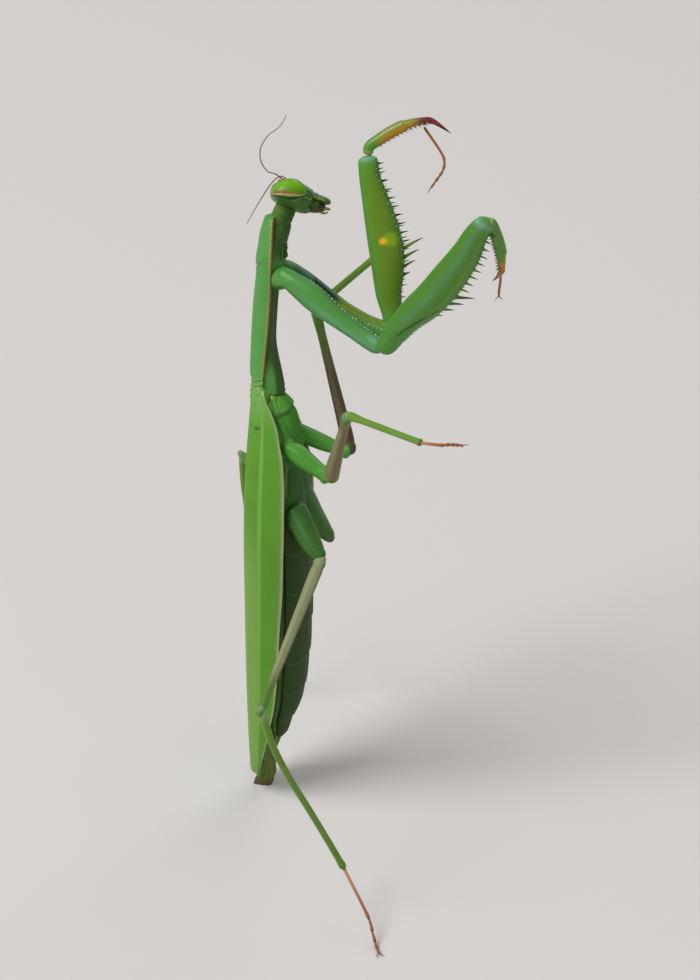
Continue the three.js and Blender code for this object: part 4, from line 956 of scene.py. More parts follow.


# ---- grasping fore legs ----
# coxa and femur rows are (place, half width, half depth, shift to the back), ridges are angles round
# the coxa of its two beaded ridges; line marks along the coxa, and the coxa also carries painted
# shade in the gap between the coxae and a painted highlight.
FORE_LEGS = {
    "right": dict(
        base=(1.35, 3.2, 57.2), hip=(12.2, 1.8, 52.0), knee=(22.1, 2.4, 66.9),
        claw=(22.7, 4.9, 60.5), tip=(21.6, 5.9, 58.8), bow=0.5,
        foot=[(22.9, 4.4, 61.2), (22.3, 6.2, 58.8), (21.8, 7.4, 57.1), (21.6, 8.0, 56.1)],
        shoulder=[(-0.6, 5.2, 55.7), (0.5, 4.0, 56.4)], ridges=(-0.2, -0.85),
        coxa=[(-0.05, 0.5, 0.62, -0.05), (0.0, 0.75, 0.8, -0.05), (0.08, 0.92, 0.98, -0.04),
              (0.2, 1.0, 1.2, -0.08), (0.32, 1.0, 1.3, -0.18), (0.5, 0.9, 1.05, -0.38),
              (0.7, 0.78, 0.85, -0.46), (0.93, 0.74, 0.8, -0.42), (1, 0.5, 0.55, -0.25)],
        femur=[(-0.035, 0.72, 0.8, 0), (0.02, 0.86, 1.05, 0.02), (0.1, 0.92, 1.28, 0.04),
               (0.2, 1.0, 1.42, 0.0), (0.32, 1.1, 1.82, -0.32), (0.45, 1.1, 1.88, -0.62),
               (0.6, 1.03, 1.82, -0.62), (0.77, 0.92, 1.52, -0.42), (0.9, 0.8, 1.2, 0.05),
               (0.98, 0.68, 1.05, 0.03), (1.02, 0.45, 0.7, 0)]),
    "left": dict(
        base=(0.9, 6.6, 55.8), hip=(11.7, 5.6, 51.4), knee=(7.3, 10.5, 67.7),
        claw=(12.9, 12.9, 71.1), tip=(15.0, 12.6, 70.3), bow=0.9,
        foot=[(12.0, 13.3, 70.2), (13.9, 13.0, 67.9), (14.3, 12.8, 67.1), (14.2, 12.6, 66.2),
              (13.7, 12.5, 65.3), (13.1, 12.4, 64.3)],
        shoulder=[(-0.6, 5.6, 55.7), (0.2, 6.2, 55.9)], ridges=(0.38, -1.1),
        coxa=[(-0.06, 0.6, 0.7, 0), (0.05, 0.85, 0.85, 0), (0.2, 0.9, 1.05, -0.28),
              (0.4, 0.88, 1.0, -0.6), (0.55, 0.8, 0.9, -0.68), (0.75, 0.74, 0.82, -0.5),
              (0.93, 0.75, 0.82, -0.1), (1, 0.45, 0.5, 0)],
        femur=[(-0.03, 0.7, 0.7, 0), (0.03, 0.8, 0.85, -0.1), (0.12, 0.86, 1.02, -0.18),
               (0.22, 0.95, 1.25, -0.12), (0.32, 1.0, 1.5, -0.33), (0.45, 1.0, 1.73, -0.52),
               (0.6, 0.93, 1.64, -0.42), (0.75, 0.82, 1.33, -0.14), (0.88, 0.75, 1.04, 0.11),
               (0.98, 0.68, 0.95, 0.06), (1.0, 0.5, 0.75, 0.06)]),
}
TROCHANTER = [(0, 0.4, 0.45), (0.2, 0.8, 0.95), (0.75, 0.88, 1.1), (1, 0.7, 0.9)]
SHANK = [(0, 0.35, 0.38, 0), (0.07, 0.48, 0.5, 0.7), (0.22, 0.52, 0.6, 0.86), (0.45, 0.52, 0.62, 1),
         (0.7, 0.48, 0.54, 0.88), (0.92, 0.42, 0.42, 0.4), (1, 0.36, 0.36, 0.18)]
# Combs are (places, spine lengths, distance aside, lean, radius, where the dark tip starts).
FEMUR_COMBS = [
    ([0.31, 0.36, 0.41, 0.46], [0.8, 1.25, 1.6, 2.1], 0.1, 0.4, 1.15, 0.62),
    (np.linspace(0.5, 0.94, 10), np.linspace(0.72, 0.5, 10), 0.5, 0.1, 0.85, 0.3),
    (np.linspace(0.2, 0.95, 24), np.tile([0.6, 0.35], 12), -0.45, 0.1, 0.8, 0.25),
    (np.linspace(0.16, 0.95, 40), np.full(40, 0.12), 0.42, 0.1, 0.45, 2)]
TIBIA_COMBS = [
    (np.linspace(0.2, 0.94, count), np.linspace(0.2, longest, count), aside, 0.7, 0.62, 0.35)
    for count, aside, longest in ((12, 0.26, 0.34), (15, -0.26, 0.3))]
SHANK_ENDS = [0, 0.06, 0.2, 0.5, 0.7]  # places along the shank, the last in parts of its straight
SHANK_WIDTH = (0.44, 0.47, 0.5, 0.48, 0.42, 0.3, 0.17, 0.02)
SHANK_DEPTH = (0.5, 0.52, 0.6, 0.6, 0.5, 0.34, 0.2, 0.02)
COMB_SINK, COMB_SPLAY = 0.3, 0.35  # how deep a spine's root sits and how far its tip turns out


def comb(shape, start, end, back, profile, places, lengths, aside, lean, radius, dark):
    """A row of spines on the belly edge of a segment, leaning towards its end."""
    deep, shift = columns(np.array(profile, float), 2, 3)
    length = np.linalg.norm(end - start)
    axis = (end - start) / length
    across = unit(np.cross(axis, back))
    down = -np.cross(across, axis)
    p, long = (np.asarray(x, float)[:, None] for x in (places, lengths))
    root = start + p * length * axis + (deep(p) - shift(p) - COMB_SINK) * down + aside * across
    way = unit(down + lean * axis + COMB_SPLAY * aside * across)
    width = size("thorn") * radius * np.clip(0.55 + long[:, 0] / 3, 0, 1.05)
    made, t = thorns(root, root + (long + COMB_SINK) * way, width, 0.12 * long * axis, 10)
    shape.tubes(made, spine=ramp(t, dark - 0.12, dark + 0.15), base=fall(t, 0.1, 0.4))


def add_claws(shape, foot):
    """The pair of small hooked claws at the end of a foot."""
    before, end = vec(*foot[-2]), vec(*foot[-1])
    axis = unit(end - before)
    aside = unit(np.cross(axis, vec(0, 0, 1)))
    drop = -np.cross(aside, axis)
    tips = [end + 0.55 * axis + turn * 0.4 * aside + 0.1 * drop for turn in (-1, 1)]
    made, t = thorns([end - 0.05 * axis] * 2, tips, 0.07, -0.25 * drop)
    shape.tubes(made, spine=ramp(t, 0.1, 0.6))


def fore_coxa(leg, side, turn):
    """The first segment: two beaded ridges with a trough between them, and a soft shoulder."""
    base, hip = vec(*leg["base"]), vec(*leg["hip"])
    up = vec(0.5, 0, 1)
    outward = np.sign(unit(np.cross(hip - base, up))[1]) * turn
    upper, lower = leg["ridges"]

    def trough(t, c, s):
        top = np.arctan2(c * outward, s)
        ridges = hill(top, upper, 0.09) + hill(top, lower, 0.09)
        middle = hill(top, (upper + lower) / 2, 0.3)
        return ((0.09 * ridges - 0.12 * middle) * span(t, 0, 0.12, 0.9, 1)
                + 0.04 * hill(top, 2.6, 0.25) - 0.04 * hill(top, 0.75, 0.18) * ramp(t, 0.5, 0.8))

    made, t, c, s = limb(base, hip, up, leg["coxa"], 160, 80, relief=trough, dome=0.5)
    top = np.arctan2(c * outward, s)
    body, root = span(t, 0.02, 0.12, 0.9, 0.97), span(t, 0.02, 0.1, 0.38, 0.55)
    if side == "right":
        line = (root * (hill(top, -0.55, 0.3) + 0.7 * hill(top, 0.05, 0.06))
                + 0.5 * ramp(t, 0.3, 0.5) * body * hill(top, -0.05, 0.07))
        # painted shade: a black mark where the gap between the coxae lies in shadow
        marks = dict(streak=0.95 * span(t, 0.14, 0.2, 0.34, 0.44) * hill(top, -0.3, 0.1),
                     # painted highlight: a bluish-white glint at the coxa's end and a band on its
                     # outer face
                     shine=0.6 * hill(t, 0.9, 0.06) * hill(top, 0.7, 0.5)
                     + 0.3 * hill(top, 1.7, 0.4) * ramp(t, 0.1, 0.5))
    else:
        # painted shade: on the far coxa, line darkens the root and upper ridge where the near coxa
        # shades it
        line = root * fall(np.abs(top), 1.2, 1.6) + 0.8 * body * hill(top, upper, 0.1)
        # painted shade: a black mark on the far coxa where the near one shadows it
        marks = dict(
            trough=span(t, 0.42, 0.52, 0.9, 0.98) * fall(np.abs(top + 0.35), 0.45, 0.65),
            streak=0.9 * span(t, 0.1, 0.16, 0.4, 0.5) * fall(np.abs(top + 0.5), 0.3, 0.55))
    # painted shade: edge darkens the underside of the coxa
    shape = Shape().tubes(made, edge=0.7 * ramp(np.abs(top), 2.2, 2.7), line=np.clip(line, 0, 1),
                          **marks)
    rows = np.linspace(0.2, 0.92, 20)
    radii = 0.045 + 0.03 * (np.arange(20) % 3 == 0) * (rows > 0.4)
    for angle, skip in ((upper, 0.0), (lower, 0.5)):
        index = np.clip(np.searchsorted(t[:, 0], rows + skip * (rows[1] - rows[0])), 0, len(t) - 1)
        shape.tubes(beads(made[index, np.argmin(np.abs(top[0] - angle))], radii, 6, 8), bead=0.9)
    made, t, c, s = tube([*leg["shoulder"], base + 0.08 * (hip - base), base + 0.24 * (hip - base)],
                         [(0, 1.6), (0.3, 1.25), (0.6, 0.95), (1, 0.8)], 60, 48)
    # painted shade: edge darkens the shoulder's underside, and line the far shoulder
    return shape.tubes(made, edge=0.8 * ramp(-s, 0.1, 0.8),
                       line=0.75 * (side == "left") * ramp(t, 0.3, 0.55))


def fore_femur(hip, knee, rear, profile, turn):
    """The thick segment: a channel for the tibia between spined rims, and a slit near its root."""
    outward = np.sign(np.cross(unit(knee - hip), rear)[1]) * turn

    def slit(t, out, width):
        return hill(out - 1.9 + 2.7 * (t - 0.1), 0, width) * span(t, 0.1, 0.16, 0.38, 0.43)

    def form(t, c, s):
        out = np.arctan2(c * outward, -s)  # 0 at the spined edge, positive on the outer face
        rims = hill(np.abs(out), 0.42, 0.14)
        channel = hill(out, 0, 0.3) * ramp(t, 0.3, 0.42)
        fold = hill(t, 0.075 + 0.02 * c * outward, 0.018)
        return ((0.06 * rims - 0.14 * channel) * span(t, 0.12, 0.3, 0.92, 1)
                + 0.05 * hill(out, 1.25, 0.16) * span(t, 0.15, 0.3, 0.85, 0.95)
                - 0.08 * slit(t, out, 0.08) - 0.05 * fold + 0.03 * hill(out, 2.5, 0.3))

    made, t, c, s = limb(hip, knee, rear, profile, 200, 88, relief=form)
    out = np.arctan2(c * outward, -s)
    inner = span(-out, 0.55, 0.9, 1.9, 2.25) * span(t, 0.08, 0.2, 0.8, 0.97)
    spot = np.hypot((t - 0.525) * 17, (out + 1.62) * 1.3)
    halo = np.hypot((t - 0.53) * 17, (out + 1.1) * 1.3)
    shape = Shape().tubes(
        made, inner=0.7 * inner, spot=fall(spot, 0.1, 0.45),
        halo=0.75 * fall(halo, 0.35, 0.9) * (out < 0),
        edge=0.7 * hill(np.abs(out), 0.45, 0.3) + 0.5 * ramp(out, 2.3, 2.8),
        line=0.9 * slit(t, out, 0.07), jade=0.6 * fall(t, 0.05, 0.35),
        vein=0.6 * hill(out, 1.25, 0.045) * span(t, 0.2, 0.35, 0.85, 0.95) * (out > 0),
        # painted highlight: knee is a bluish-white glint at the knee and a faint one on the outer
        # face near the root
        knee=0.8 * hill(t, 0.985, 0.02) + 0.3 * hill(out, 2.1, 0.3) * ramp(t, 0.1, 0.3))
    for places, lengths, aside, *rest in FEMUR_COMBS:
        comb(shape, hip, knee, rear, profile, places, lengths, aside * outward, *rest)
    return shape


def fore_tibia(leg, side, turn):
    """The shank: a bowed, grooved tube that ends in a hook, with two rows of short spines."""
    hip, knee, claw, tip = (vec(*leg[k]) for k in ("hip", "knee", "claw", "tip"))
    axis, towards = unit(claw - knee), hip - knee
    length = np.linalg.norm(claw - knee)
    back = -(towards - axis * (towards @ axis))
    up = unit(back)
    profile = np.array([(p, w, d, b * leg["bow"]) for p, w, d, b in SHANK])
    spots = knee + profile[:-1, :1] * length * axis + profile[:-1, 3:] * up
    path = curve(np.vstack([spots, claw + 0.1 * up, claw + 0.5 * (tip - claw) + 0.18 * up, tip]),
                 170)
    step = np.r_[0, np.cumsum(np.linalg.norm(np.diff(path, axis=0), axis=1))]
    hook = length / step[-1]
    ends = [*SHANK_ENDS[:-1], SHANK_ENDS[-1] * hook, hook, hook + (1 - hook) * 0.5, 1]
    wide, deep = (through(*zip(ends, values))(step / step[-1]) * rounded(step, 0.3)
                  for values in (SHANK_WIDTH, SHANK_DEPTH))
    across, rear = frames(path, up)
    c, s = circle(48)
    t = (step / step[-1])[:, None]
    relief = -0.10 * hill(np.arctan2(c, -s), 0, 0.3) * span(t, 0.1, 0.25, hook - 0.05, hook)
    made = rings(path, across, rear, wide, deep, 48, 1.0, relief)
    if side == "left":
        inner = ramp(-c * np.sign(across[80, 1]) * turn, -0.3, 0.5)
        amber = span(t, 0.12, 0.3, 0.62, 0.75) * (0.25 + 0.75 * ramp(-s, -0.6, 0.5)) * inner
        red = ramp(t, 0.55, 0.7)
    else:
        amber, red = ramp(t, 0.5, 0.68), 0.5 * ramp(t, 0.66, 0.8)
    shape = Shape().tubes(made, amber=amber, red=red, pale=0.6 * hill(t, 0.02, 0.03),
                          spine=ramp(t, 0.85, 0.96))
    for row in TIBIA_COMBS:
        comb(shape, knee, claw, back, profile, *row)
    return shape


class MANTIS_OT_fore_legs(bpy.types.Operator):
    """Builds the two spined grasping legs"""

    bl_idname = "mantis.fore_legs"
    bl_label = "Fore legs"

    def execute(self, context):
        horn = tint("horn")
        coxa_skin = cuticle("coxa_cuticle", tint("jade", 0.92), rough=0.4, coat=0.15,
                            # edge is painted shade below; line is fine dark lines on the near coxa
                            # and painted shade on the far one
                            edge=(0.045, 0.15, 0.015), line=(0.008, 0.07, 0.045),
                            # painted shade: the black mark in the gap between the coxae
                            trough=(0.13, 0.21, 0.005), streak=(0.003, 0.010, 0.007),
                            # painted highlight
                            shine=(0.17, 0.44, 0.30), bead=(0.75, 0.85, 0.7))
        femur_skin = cuticle("femur_cuticle", tint("fern"), coat=0.05, jade=tint("jade"),
                             inner=tint("olive"), halo=(0.24, 0.42, 0.012), spot=tint("orange"),
                             edge=(0.045, 0.17, 0.012), line=(0.010, 0.028, 0.010),
                             # knee is a painted highlight
                             vein=(0.17, 0.36, 0.06), knee=(0.16, 0.38, 0.24),
                             base=(0.10, 0.26, 0.05), spine=horn)
        tibia_skin = cuticle("tibia_cuticle", tint("fern"), rough=0.34, coat=0.3,
                             amber=(0.42, 0.19, 0.004), red=(0.13, 0.013, 0.006),
                             pale=(0.30, 0.36, 0.12), base=(0.28, 0.16, 0.04), spine=horn)
        foot_skin = cuticle("fore_tarsus_cuticle", (0.33, 0.12, 0.025), rough=0.4,
                            joint=(0.10, 0.03, 0.012), spine=horn)
        for side, turn in (("right", -1), ("left", 1)):
            leg = FORE_LEGS[side]
            hip, knee, claw = (vec(*leg[k]) for k in ("hip", "knee", "claw"))
            thigh, shank = unit(knee - hip), claw - knee
            rear = -(shank - thigh * (shank @ thigh))
            made, t, c, s = limb(hip - 0.5 * thigh, hip + 1.6 * thigh, rear, TROCHANTER, 60, 56,
                                 relief=lambda t, c, s: -0.06 * hill(t, 0.62 - 0.1 * s, 0.05))
            joint = Shape().tubes(made, jade=0.7, edge=0.5 * ramp(-s, 0, 0.6),
                                  # painted highlight at the joint with the coxa
                                  knee=0.5 * hill(t, 0.12, 0.06))
            made, t, pinch = jointed(leg["foot"], size("tarsus") * 0.85,
                                     (0.5, 0.64, 0.77, 0.88), 90)
            foot = Shape().tubes(made, joint=pinch)
            add_claws(foot, leg["foot"])
            for shape, name, skin, node, slot in (
                    (fore_coxa(leg, side, turn), "grasping_coxa", coxa_skin, "coxa", "fore_leg"),
                    (joint, "trochanter", femur_skin, "trochanter", "fore_leg"),
                    (fore_femur(hip, knee, rear, leg["femur"], turn), "grasping_femur",
                     femur_skin, "femur", "fore_leg"),
                    (fore_tibia(leg, side, turn), "grasping_tibia", tibia_skin, "tibia",
                     "fore_leg"),
                    (foot, "grasping_tarsus", foot_skin, "tarsus", "tarsus")):
                shape.piece(f"{name}_{side}", skin, [f"fore_{node}_{side}"], slot)
        return {"FINISHED"}


# ---- walking legs ----
# points are the root, trochanter, knee and ankle; thick are radii of the coxa, femur, knee and
# tibia; green is where along the femur its brown gives way, and lit how strong the painted highlight
# is on its lit edge.
WALKING_LEGS = {
    "mid_right": dict(
        points=[(3.4, -1.2, 40.6), (8.1, -2.2, 38.9), (12.2, -8.7, 50.0), (21.3, -13.7, 51.4)],
        foot=[(21.3, -13.7, 51.4), (23.6, -15.0, 52.3), (24.8, -15.6, 52.9), (26.2, -16.4, 53.5)],
        thick=(1.0, 0.76, 0.52, 0.33), green=(0.86, 0.95), lit=0.45),
    "mid_left": dict(
        points=[(3.3, 2.9, 40.0), (8.1, 3.4, 38.8), (1.7, 10.7, 50.0), (6.2, 19.6, 53.4)],
        foot=[(6.2, 19.6, 53.4), (5.2, 22.0, 54.0), (4.5, 23.4, 54.2), (3.6, 25.0, 54.3)],
        thick=(0.88, 0.66, 0.50, 0.36), green=(0.5, 0.95), lit=0),
    "hind_right": dict(
        points=[(4.5, -2.1, 33.5), (7.6, -3.6, 30.4), (8.15, -21.9, 23.7), (14.9, -17.2, 4.3)],
        foot=[(14.9, -17.2, 4.3), (18.8, -20.9, 1.8), (19.7, -22.1, 0.9), (20.3, -22.9, 0.26),
              (21.0, -24.0, 0.23)],
        thick=(1.25, 0.60, 0.45, 0.33), green=(0.72, 0.88), lit=0.75),
    "hind_left": dict(
        points=[(3.4, 2.0, 33.5), (6.0, 3.2, 28.7), (-8.7, 16.6, 28.3), (-4.6, 14.5, 7.8)],
        foot=[(-4.6, 14.5, 7.8), (-4.1, 16.0, 3.6), (-3.8, 16.9, 1.5), (-3.5, 17.9, 0.26),
              (-3.1, 19.1, 0.22)],
        thick=(1.25, 0.60, 0.45, 0.33), green=(0.86, 0.95), lit=0),
}
SHIN_BOW = 0.5  # how far the shin of a hind leg bows out
# Rows in parts of the thickness: place, half width, half depth, shift to the back.
COXA_ROOT = [(-0.2, 1, 1.1, 0.1), (0, 1, 1.05, 0.16)]
SLIM_COXA_ROOT = [(-0.04, 0.55, 0.6, 0), (0.08, 0.72, 0.76, 0.05)]
UP = vec(0, 0, 1)


def walking_coxa(name, leg):
    """The short first segment, ridged on both flanks, and the soft skin at its root."""
    hip, thigh = leg["thick"][:2]
    base, joint = (vec(*p) for p in leg["points"][:2])
    hind, slim = name.startswith("hind"), name == "mid_right"
    root = base - 0.1 * (joint - base)
    profile = [(p, *(hip * k for k in row)) for p, *row in (SLIM_COXA_ROOT if slim else COXA_ROOT)]
    profile += [(0.25, hip * 0.9, hip * 0.93, hip * 0.12), (0.5, hip * 0.84, hip * 0.84, 0),
                (0.78, hip * 0.68, hip * 0.7, -0.05), (0.94, thigh * 1.1, thigh * 1.15, 0),
                (1.03, thigh * 0.8, thigh * 0.8, 0)]
    made, t, c, s = limb(
        root, joint, UP, profile, 80, 56, 0.88,
        relief=lambda t, c, s: 0.07 * hill(np.abs(c), 0.72, 0.09) * hill(t, 0.4, 0.4)
        - 0.06 * hill(t, 0.86, 0.02) - 0.06 * hill(s, 0.2, 0.12) * hill(t, 0.4, 0.3))
    # painted light and shade: edge darkens the underside, pale lights the top of a mid coxa, and
    # deep darkens the hind coxae, which lie in shade
    shape = Shape().tubes(
        made, edge=0.5 * ramp(-s, 0.2, 0.8), pale=0.3 * ramp(s, -0.2, 0.6) * (not hind),
        deep=0.95 * hind, ridge=hind * hill(np.abs(c), 0.72, 0.1) * hill(t, 0.4, 0.4))
    inside = root + vec(-1.0, -1.5 if name.endswith("left") else 1.5, 0.4)
    middle, last = (0.8, 0.6) if slim else (1.08, 0.75)
    made, t, c, s = tube([inside, root + 0.1 * (joint - root), root + 0.35 * (joint - root)],
                         [(0, hip * 1.2), (0.5, hip * middle), (1, hip * last)], 40, 40)
    # painted shade: deep and edge, as on the coxa
    return shape.tubes(made, deep=0.95 * hind, edge=0.5 * ramp(-s, 0.2, 0.8))


def walking_femur(name, leg):
    """The long ribbed thigh, brown at first and green at the knee."""
    thigh, knee = leg["thick"][1:3]
    joint, bend = (vec(*p) for p in leg["points"][1:3])

    def ribs(t, c, s):
        return (0.035 * np.cos(5 * np.arctan2(c, s)) * span(t, 0.03, 0.15, 0.9, 0.97)
                - 0.06 * hill(t, 0.055, 0.012) + 0.04 * hill(t, 0.03, 0.02))

    made, t, c, s = limb(joint, bend, UP, [
        (-0.02, thigh * 0.7, thigh * 0.7), (0.04, thigh, thigh), (0.3, thigh * 0.88, thigh * 0.92),
        (0.8, knee * 0.85, knee * 0.88), (0.96, knee, knee * 1.05),
        (1.02, knee * 0.6, knee * 0.65)], 110, 40, relief=ribs)
    # the lit side, which carries the painted highlight
    if name.startswith("hind"):
        edge = ramp(s, 0.1, 0.75)
    else:
        edge = ramp(-c * np.sign(made[50, 0, 1] - made[50, 20, 1]), 0.2, 0.8)
    left = name.endswith("left")
    return Shape().tubes(
        made, green=np.clip(fall(t, 0.02, 0.1) + 0.9 * ramp(t, *leg["green"]), 0, 1),
        # painted shade: dark darkens the far legs' femora, most near the root, and rib the grooves
        # between the ribs
        dark=0.8 * left * (1 - 0.9 * ramp(t, 0.4, 0.85)),
        rib=0.5 * (0.5 + 0.5 * np.cos(5 * np.arctan2(c, s) + np.pi)),
        glaze=leg["lit"] * edge * fall(t, 0.7, 0.85), pale=0.5 * hill(t, 0.985, 0.012))


def walking_tibia(name, leg):
    """The thin shin, which bows out on a hind leg."""
    knee, shin = leg["thick"][2:]
    bow = SHIN_BOW if name.startswith("hind") else 0.0
    made, t, c, s = limb(vec(*leg["points"][2]), vec(*leg["points"][3]), UP, [
        (-0.01, knee * 0.6, knee * 0.6, 0), (0.05, knee * 0.85, knee * 0.85, 0),
        (0.18, shin * 1.05, shin * 1.05, -bow * 0.8), (0.38, shin, shin, -bow),
        (0.6, shin * 0.95, shin * 0.95, -bow * 0.55), (0.85, shin * 0.95, shin * 0.95, -bow * 0.15),
        (1, shin, shin, 0)], 110, 32,
        relief=lambda t, c, s: 0.012 * np.cos(6 * np.arctan2(c, s)) + 0.04 * hill(t, 0.98, 0.02))
    return Shape().tubes(made, pale=0.6 * hill(t, 0.0, 0.03), brown=0.9 * ramp(t, 0.985, 1.0))


def walking_tarsus(leg):
    """The foot of five segments with its claws."""
    made, t, pinch = jointed(leg["foot"], size("tarsus"), (0.5, 0.66, 0.8, 0.9), 130, 16)
    shape = Shape().tubes(made, joint=pinch, pale=0.5 * fall(t, 0.1, 0.4))
    add_claws(shape, leg["foot"])
    return shape


class MANTIS_OT_walking_legs(bpy.types.Operator):
    """Builds the four walking legs"""

    bl_idname = "mantis.walking_legs"
    bl_label = "Walking legs"

    def execute(self, context):
        coxa_skin = cuticle("walking_coxa_cuticle", tint("leaf"), rough=0.42, coat=0.15,
                            # edge and deep are painted shade, pale is painted light on the top
                            edge=tint("leaf", 0.55), pale=(0.09, 0.34, 0.06),
                            deep=(0.034, 0.125, 0.014), ridge=(0.06, 0.20, 0.035))
        femur_skin = cuticle("walking_femur_cuticle", tint("brown"), rough=0.45, coat=0.08,
                             # rib is painted shade in the grooves between the ribs
                             green=tint("leaf", 0.9), rib=tint("brown", 0.6),
                             # dark is painted shade on the far legs; the next colour is a painted
                             # highlight on the lit edge
                             dark=(0.045, 0.032, 0.008), glaze=(0.27, 0.32, 0.18),
                             pale=(0.3, 0.36, 0.22))
        shin_skin = cuticle("walking_tibia_cuticle", (0.12, 0.25, 0.022), rough=0.4,
                            brown=tint("brown"), pale=(0.4, 0.5, 0.3))
        foot_skin = cuticle("tarsus_cuticle", tint("rust", 0.95), rough=0.45,
                            joint=(0.07, 0.028, 0.015), pale=(0.45, 0.3, 0.16),
                            spine=tint("horn"))
        for name, leg in WALKING_LEGS.items():
            pair, side = name.split("_")
            for shape, part, skin, slot in (
                    (walking_coxa(name, leg), "coxa", coxa_skin, "cuticle_green"),
                    (walking_femur(name, leg), "femur", femur_skin, "walking_femur"),
                    (walking_tibia(name, leg), "tibia", shin_skin, "cuticle_green"),
                    (walking_tarsus(leg), "tarsus", foot_skin, "tarsus")):
                shape.piece(f"walking_{part}_{name}", skin, [f"{pair}_{part}_{side}"], slot)
        return {"FINISHED"}


# ---- wings ----
# Each is a measure of the wing over height.
WING_CORNER = through((2, 1.35), (2.8, 2.1), (4.2, 2.7), (6.2, 3.05), (10, 3.4), (15, 3.7),
                      (25, 3.9), (35, 3.9), (40, 3.4), (43, 2.7), (45, 2.15), (46.1, 1.45))
COSTAL_EDGE = through((2, 0.1), (2.8, 0.3), (4.8, 0.9), (8.3, 1.75), (12.3, 2.6), (17, 3.07),
                      (21.5, 3.35), (26, 3.7), (30.5, 3.85), (33.4, 3.87), (36.8, 3.78),
                      (38.5, 3.62), (40.2, 3.35), (41.5, 2.92), (43, 2.42), (44.5, 1.55),
                      (45, 1.1), (46.1, 0.2))
LEFT_WING_TUCK = through((36, 0), (38.5, 0.4), (41.5, 0.7), (43, 1.1), (45, 1.25))
WING_OVERLAP = through((2, 0.3), (6, 0.45), (38, 0.45), (42, 0.1), (43, -0.2), (45, -0.7))
UPPER_ROOF = through((-1, -1.31), (0.9, -1.29), (1.8, -1.1), (2.6, -0.82), (3.6, -0.35))
LOWER_ROOF = through((-1, -0.76), (0.9, -0.76), (1.6, -0.85), (2.6, -0.72), (3.6, -0.3))


# Veins are (place across at the root, at the tip, width, height).
VEINS = [(0.99, 0.99, 0.014, 1.0), (0.778, 0.778, 0.007, 1.0), (0.745, 0.75, 0.005, 0.6),
         (0.69, 0.67, 0.006, 0.5), (0.60, 0.55, 0.007, 0.5), (0.52, 0.44, 0.008, 0.6),
         (0.40, 0.28, 0.009, 0.6), (0.28, 0.18, 0.008, 0.5), (0.16, 0.09, 0.008, 0.5)]


def fore_wing(turn, roof):
    """A leathery wing: from its inner edge over the back, round the shoulder and down the flank.
    Each level is a cubic through seven knots, thickened inwards along the surface normal."""
    z = np.r_[np.linspace(2, 3, 14), np.linspace(3.1, 44.9, 300), np.linspace(45, 46, 12)]
    corner, inner = WING_CORNER(z), -WING_OVERLAP(z)
    edge = COSTAL_EDGE(z) - (LEFT_WING_TUCK(z) if turn > 0 else 0)
    broad = np.maximum(corner / 3.9, 0.6)
    wall = np.minimum(0.35, edge - 0.15)
    shoulder = corner - 0.45
    y = [inner + (shoulder - inner) * k for k in (0, 0.3, 0.6, 1)]
    x = [roof(v / broad) for v in y]
    y += [corner, corner + 0.18, corner + 0.28]
    x += [wall, (wall + edge) / 2, edge]
    knots = np.linspace(0, 1, 7) ** 0.9
    q = np.linspace(0, 1, 150)
    basis = np.stack([through(*zip(knots, row))(q) for row in np.eye(7)])
    outer = np.stack([np.stack(x, 1) @ basis, LEAN(z)[:, None] + turn * (np.stack(y, 1) @ basis),
                      z[:, None] + 0 * q], -1)
    normal = unit(np.cross(np.gradient(outer, axis=0), np.gradient(outer, axis=1))) * -turn
    p, w = z[:, None], q[None]
    high = ramp(p, 2, 45)
    relief = sum(power * hill(w, tip + (root - tip) * high, wide)
                 for root, tip, wide, power in VEINS)
    outer = outer + (size("vein") * relief)[..., None] * normal
    thin = rounded(np.minimum(w, 1 - w), 0.012) * 0.9 + 0.1
    under = (outer - (size("wing_skin") * thin)[..., None] * normal)[:, ::-4]
    across = np.concatenate([w, w[:, ::-4]], 1)
    veil = np.concatenate([relief, 0 * relief[:, ::-4]], 1)
    shape = Shape().tubes(
        np.concatenate([outer, under], 1), wing_across=across, wing_high=p / 45,
        vein=np.clip(veil + hill(across, 0.787, 0.006), 0, 1),
        costa=ramp(across, 0.972, 0.979) * ramp(p, 3, 6), rust=0.15 * ramp(across, 0.994, 0.999),
        margin=fall(across, 0.774, 0.78) * (0.12 + 0.88 * fall(p, 26, 36)),
        root=ramp(p, 42.6, 44.6), mark=0.98 * hill(across, 0.70, 0.05) * hill(p, 42.7, 0.14))
    pad = [(0.0, 1.35 + turn * 1.15, 45.1), (0.9, 1.3 + turn * 1.5, 44.0)]
    return shape.tubes(beads(pad, [0.8, 0.6], 20, 32, (-0.2, 0.1, 1), 1.5), root=1.0)


HIND_WIDTH = through((0, 0.75), (2, 0.42), (2.8, 0.8), (4.2, 1.4), (6, 1.95), (9, 2.45), (12, 2.75),
                     (14, 2.85), (38, 2.85), (41.5, 2.0))
HIND_THICK = through((0, 1.65), (1.5, 1.5), (3, 1.2), (5, 0.8), (7, 0.52), (9, 0.52), (42, 0.52))
HIND_SPLIT = through((0, 0.25), (1.5, 0.12), (3, 0), (42, 0))
HIND_BACK = through((0, -1.1), (0.8, -0.85), (1.6, -0.45), (2.4, -0.35), (3.4, -0.2),
                    (42, -0.2))
HIND_PLEATS = 12


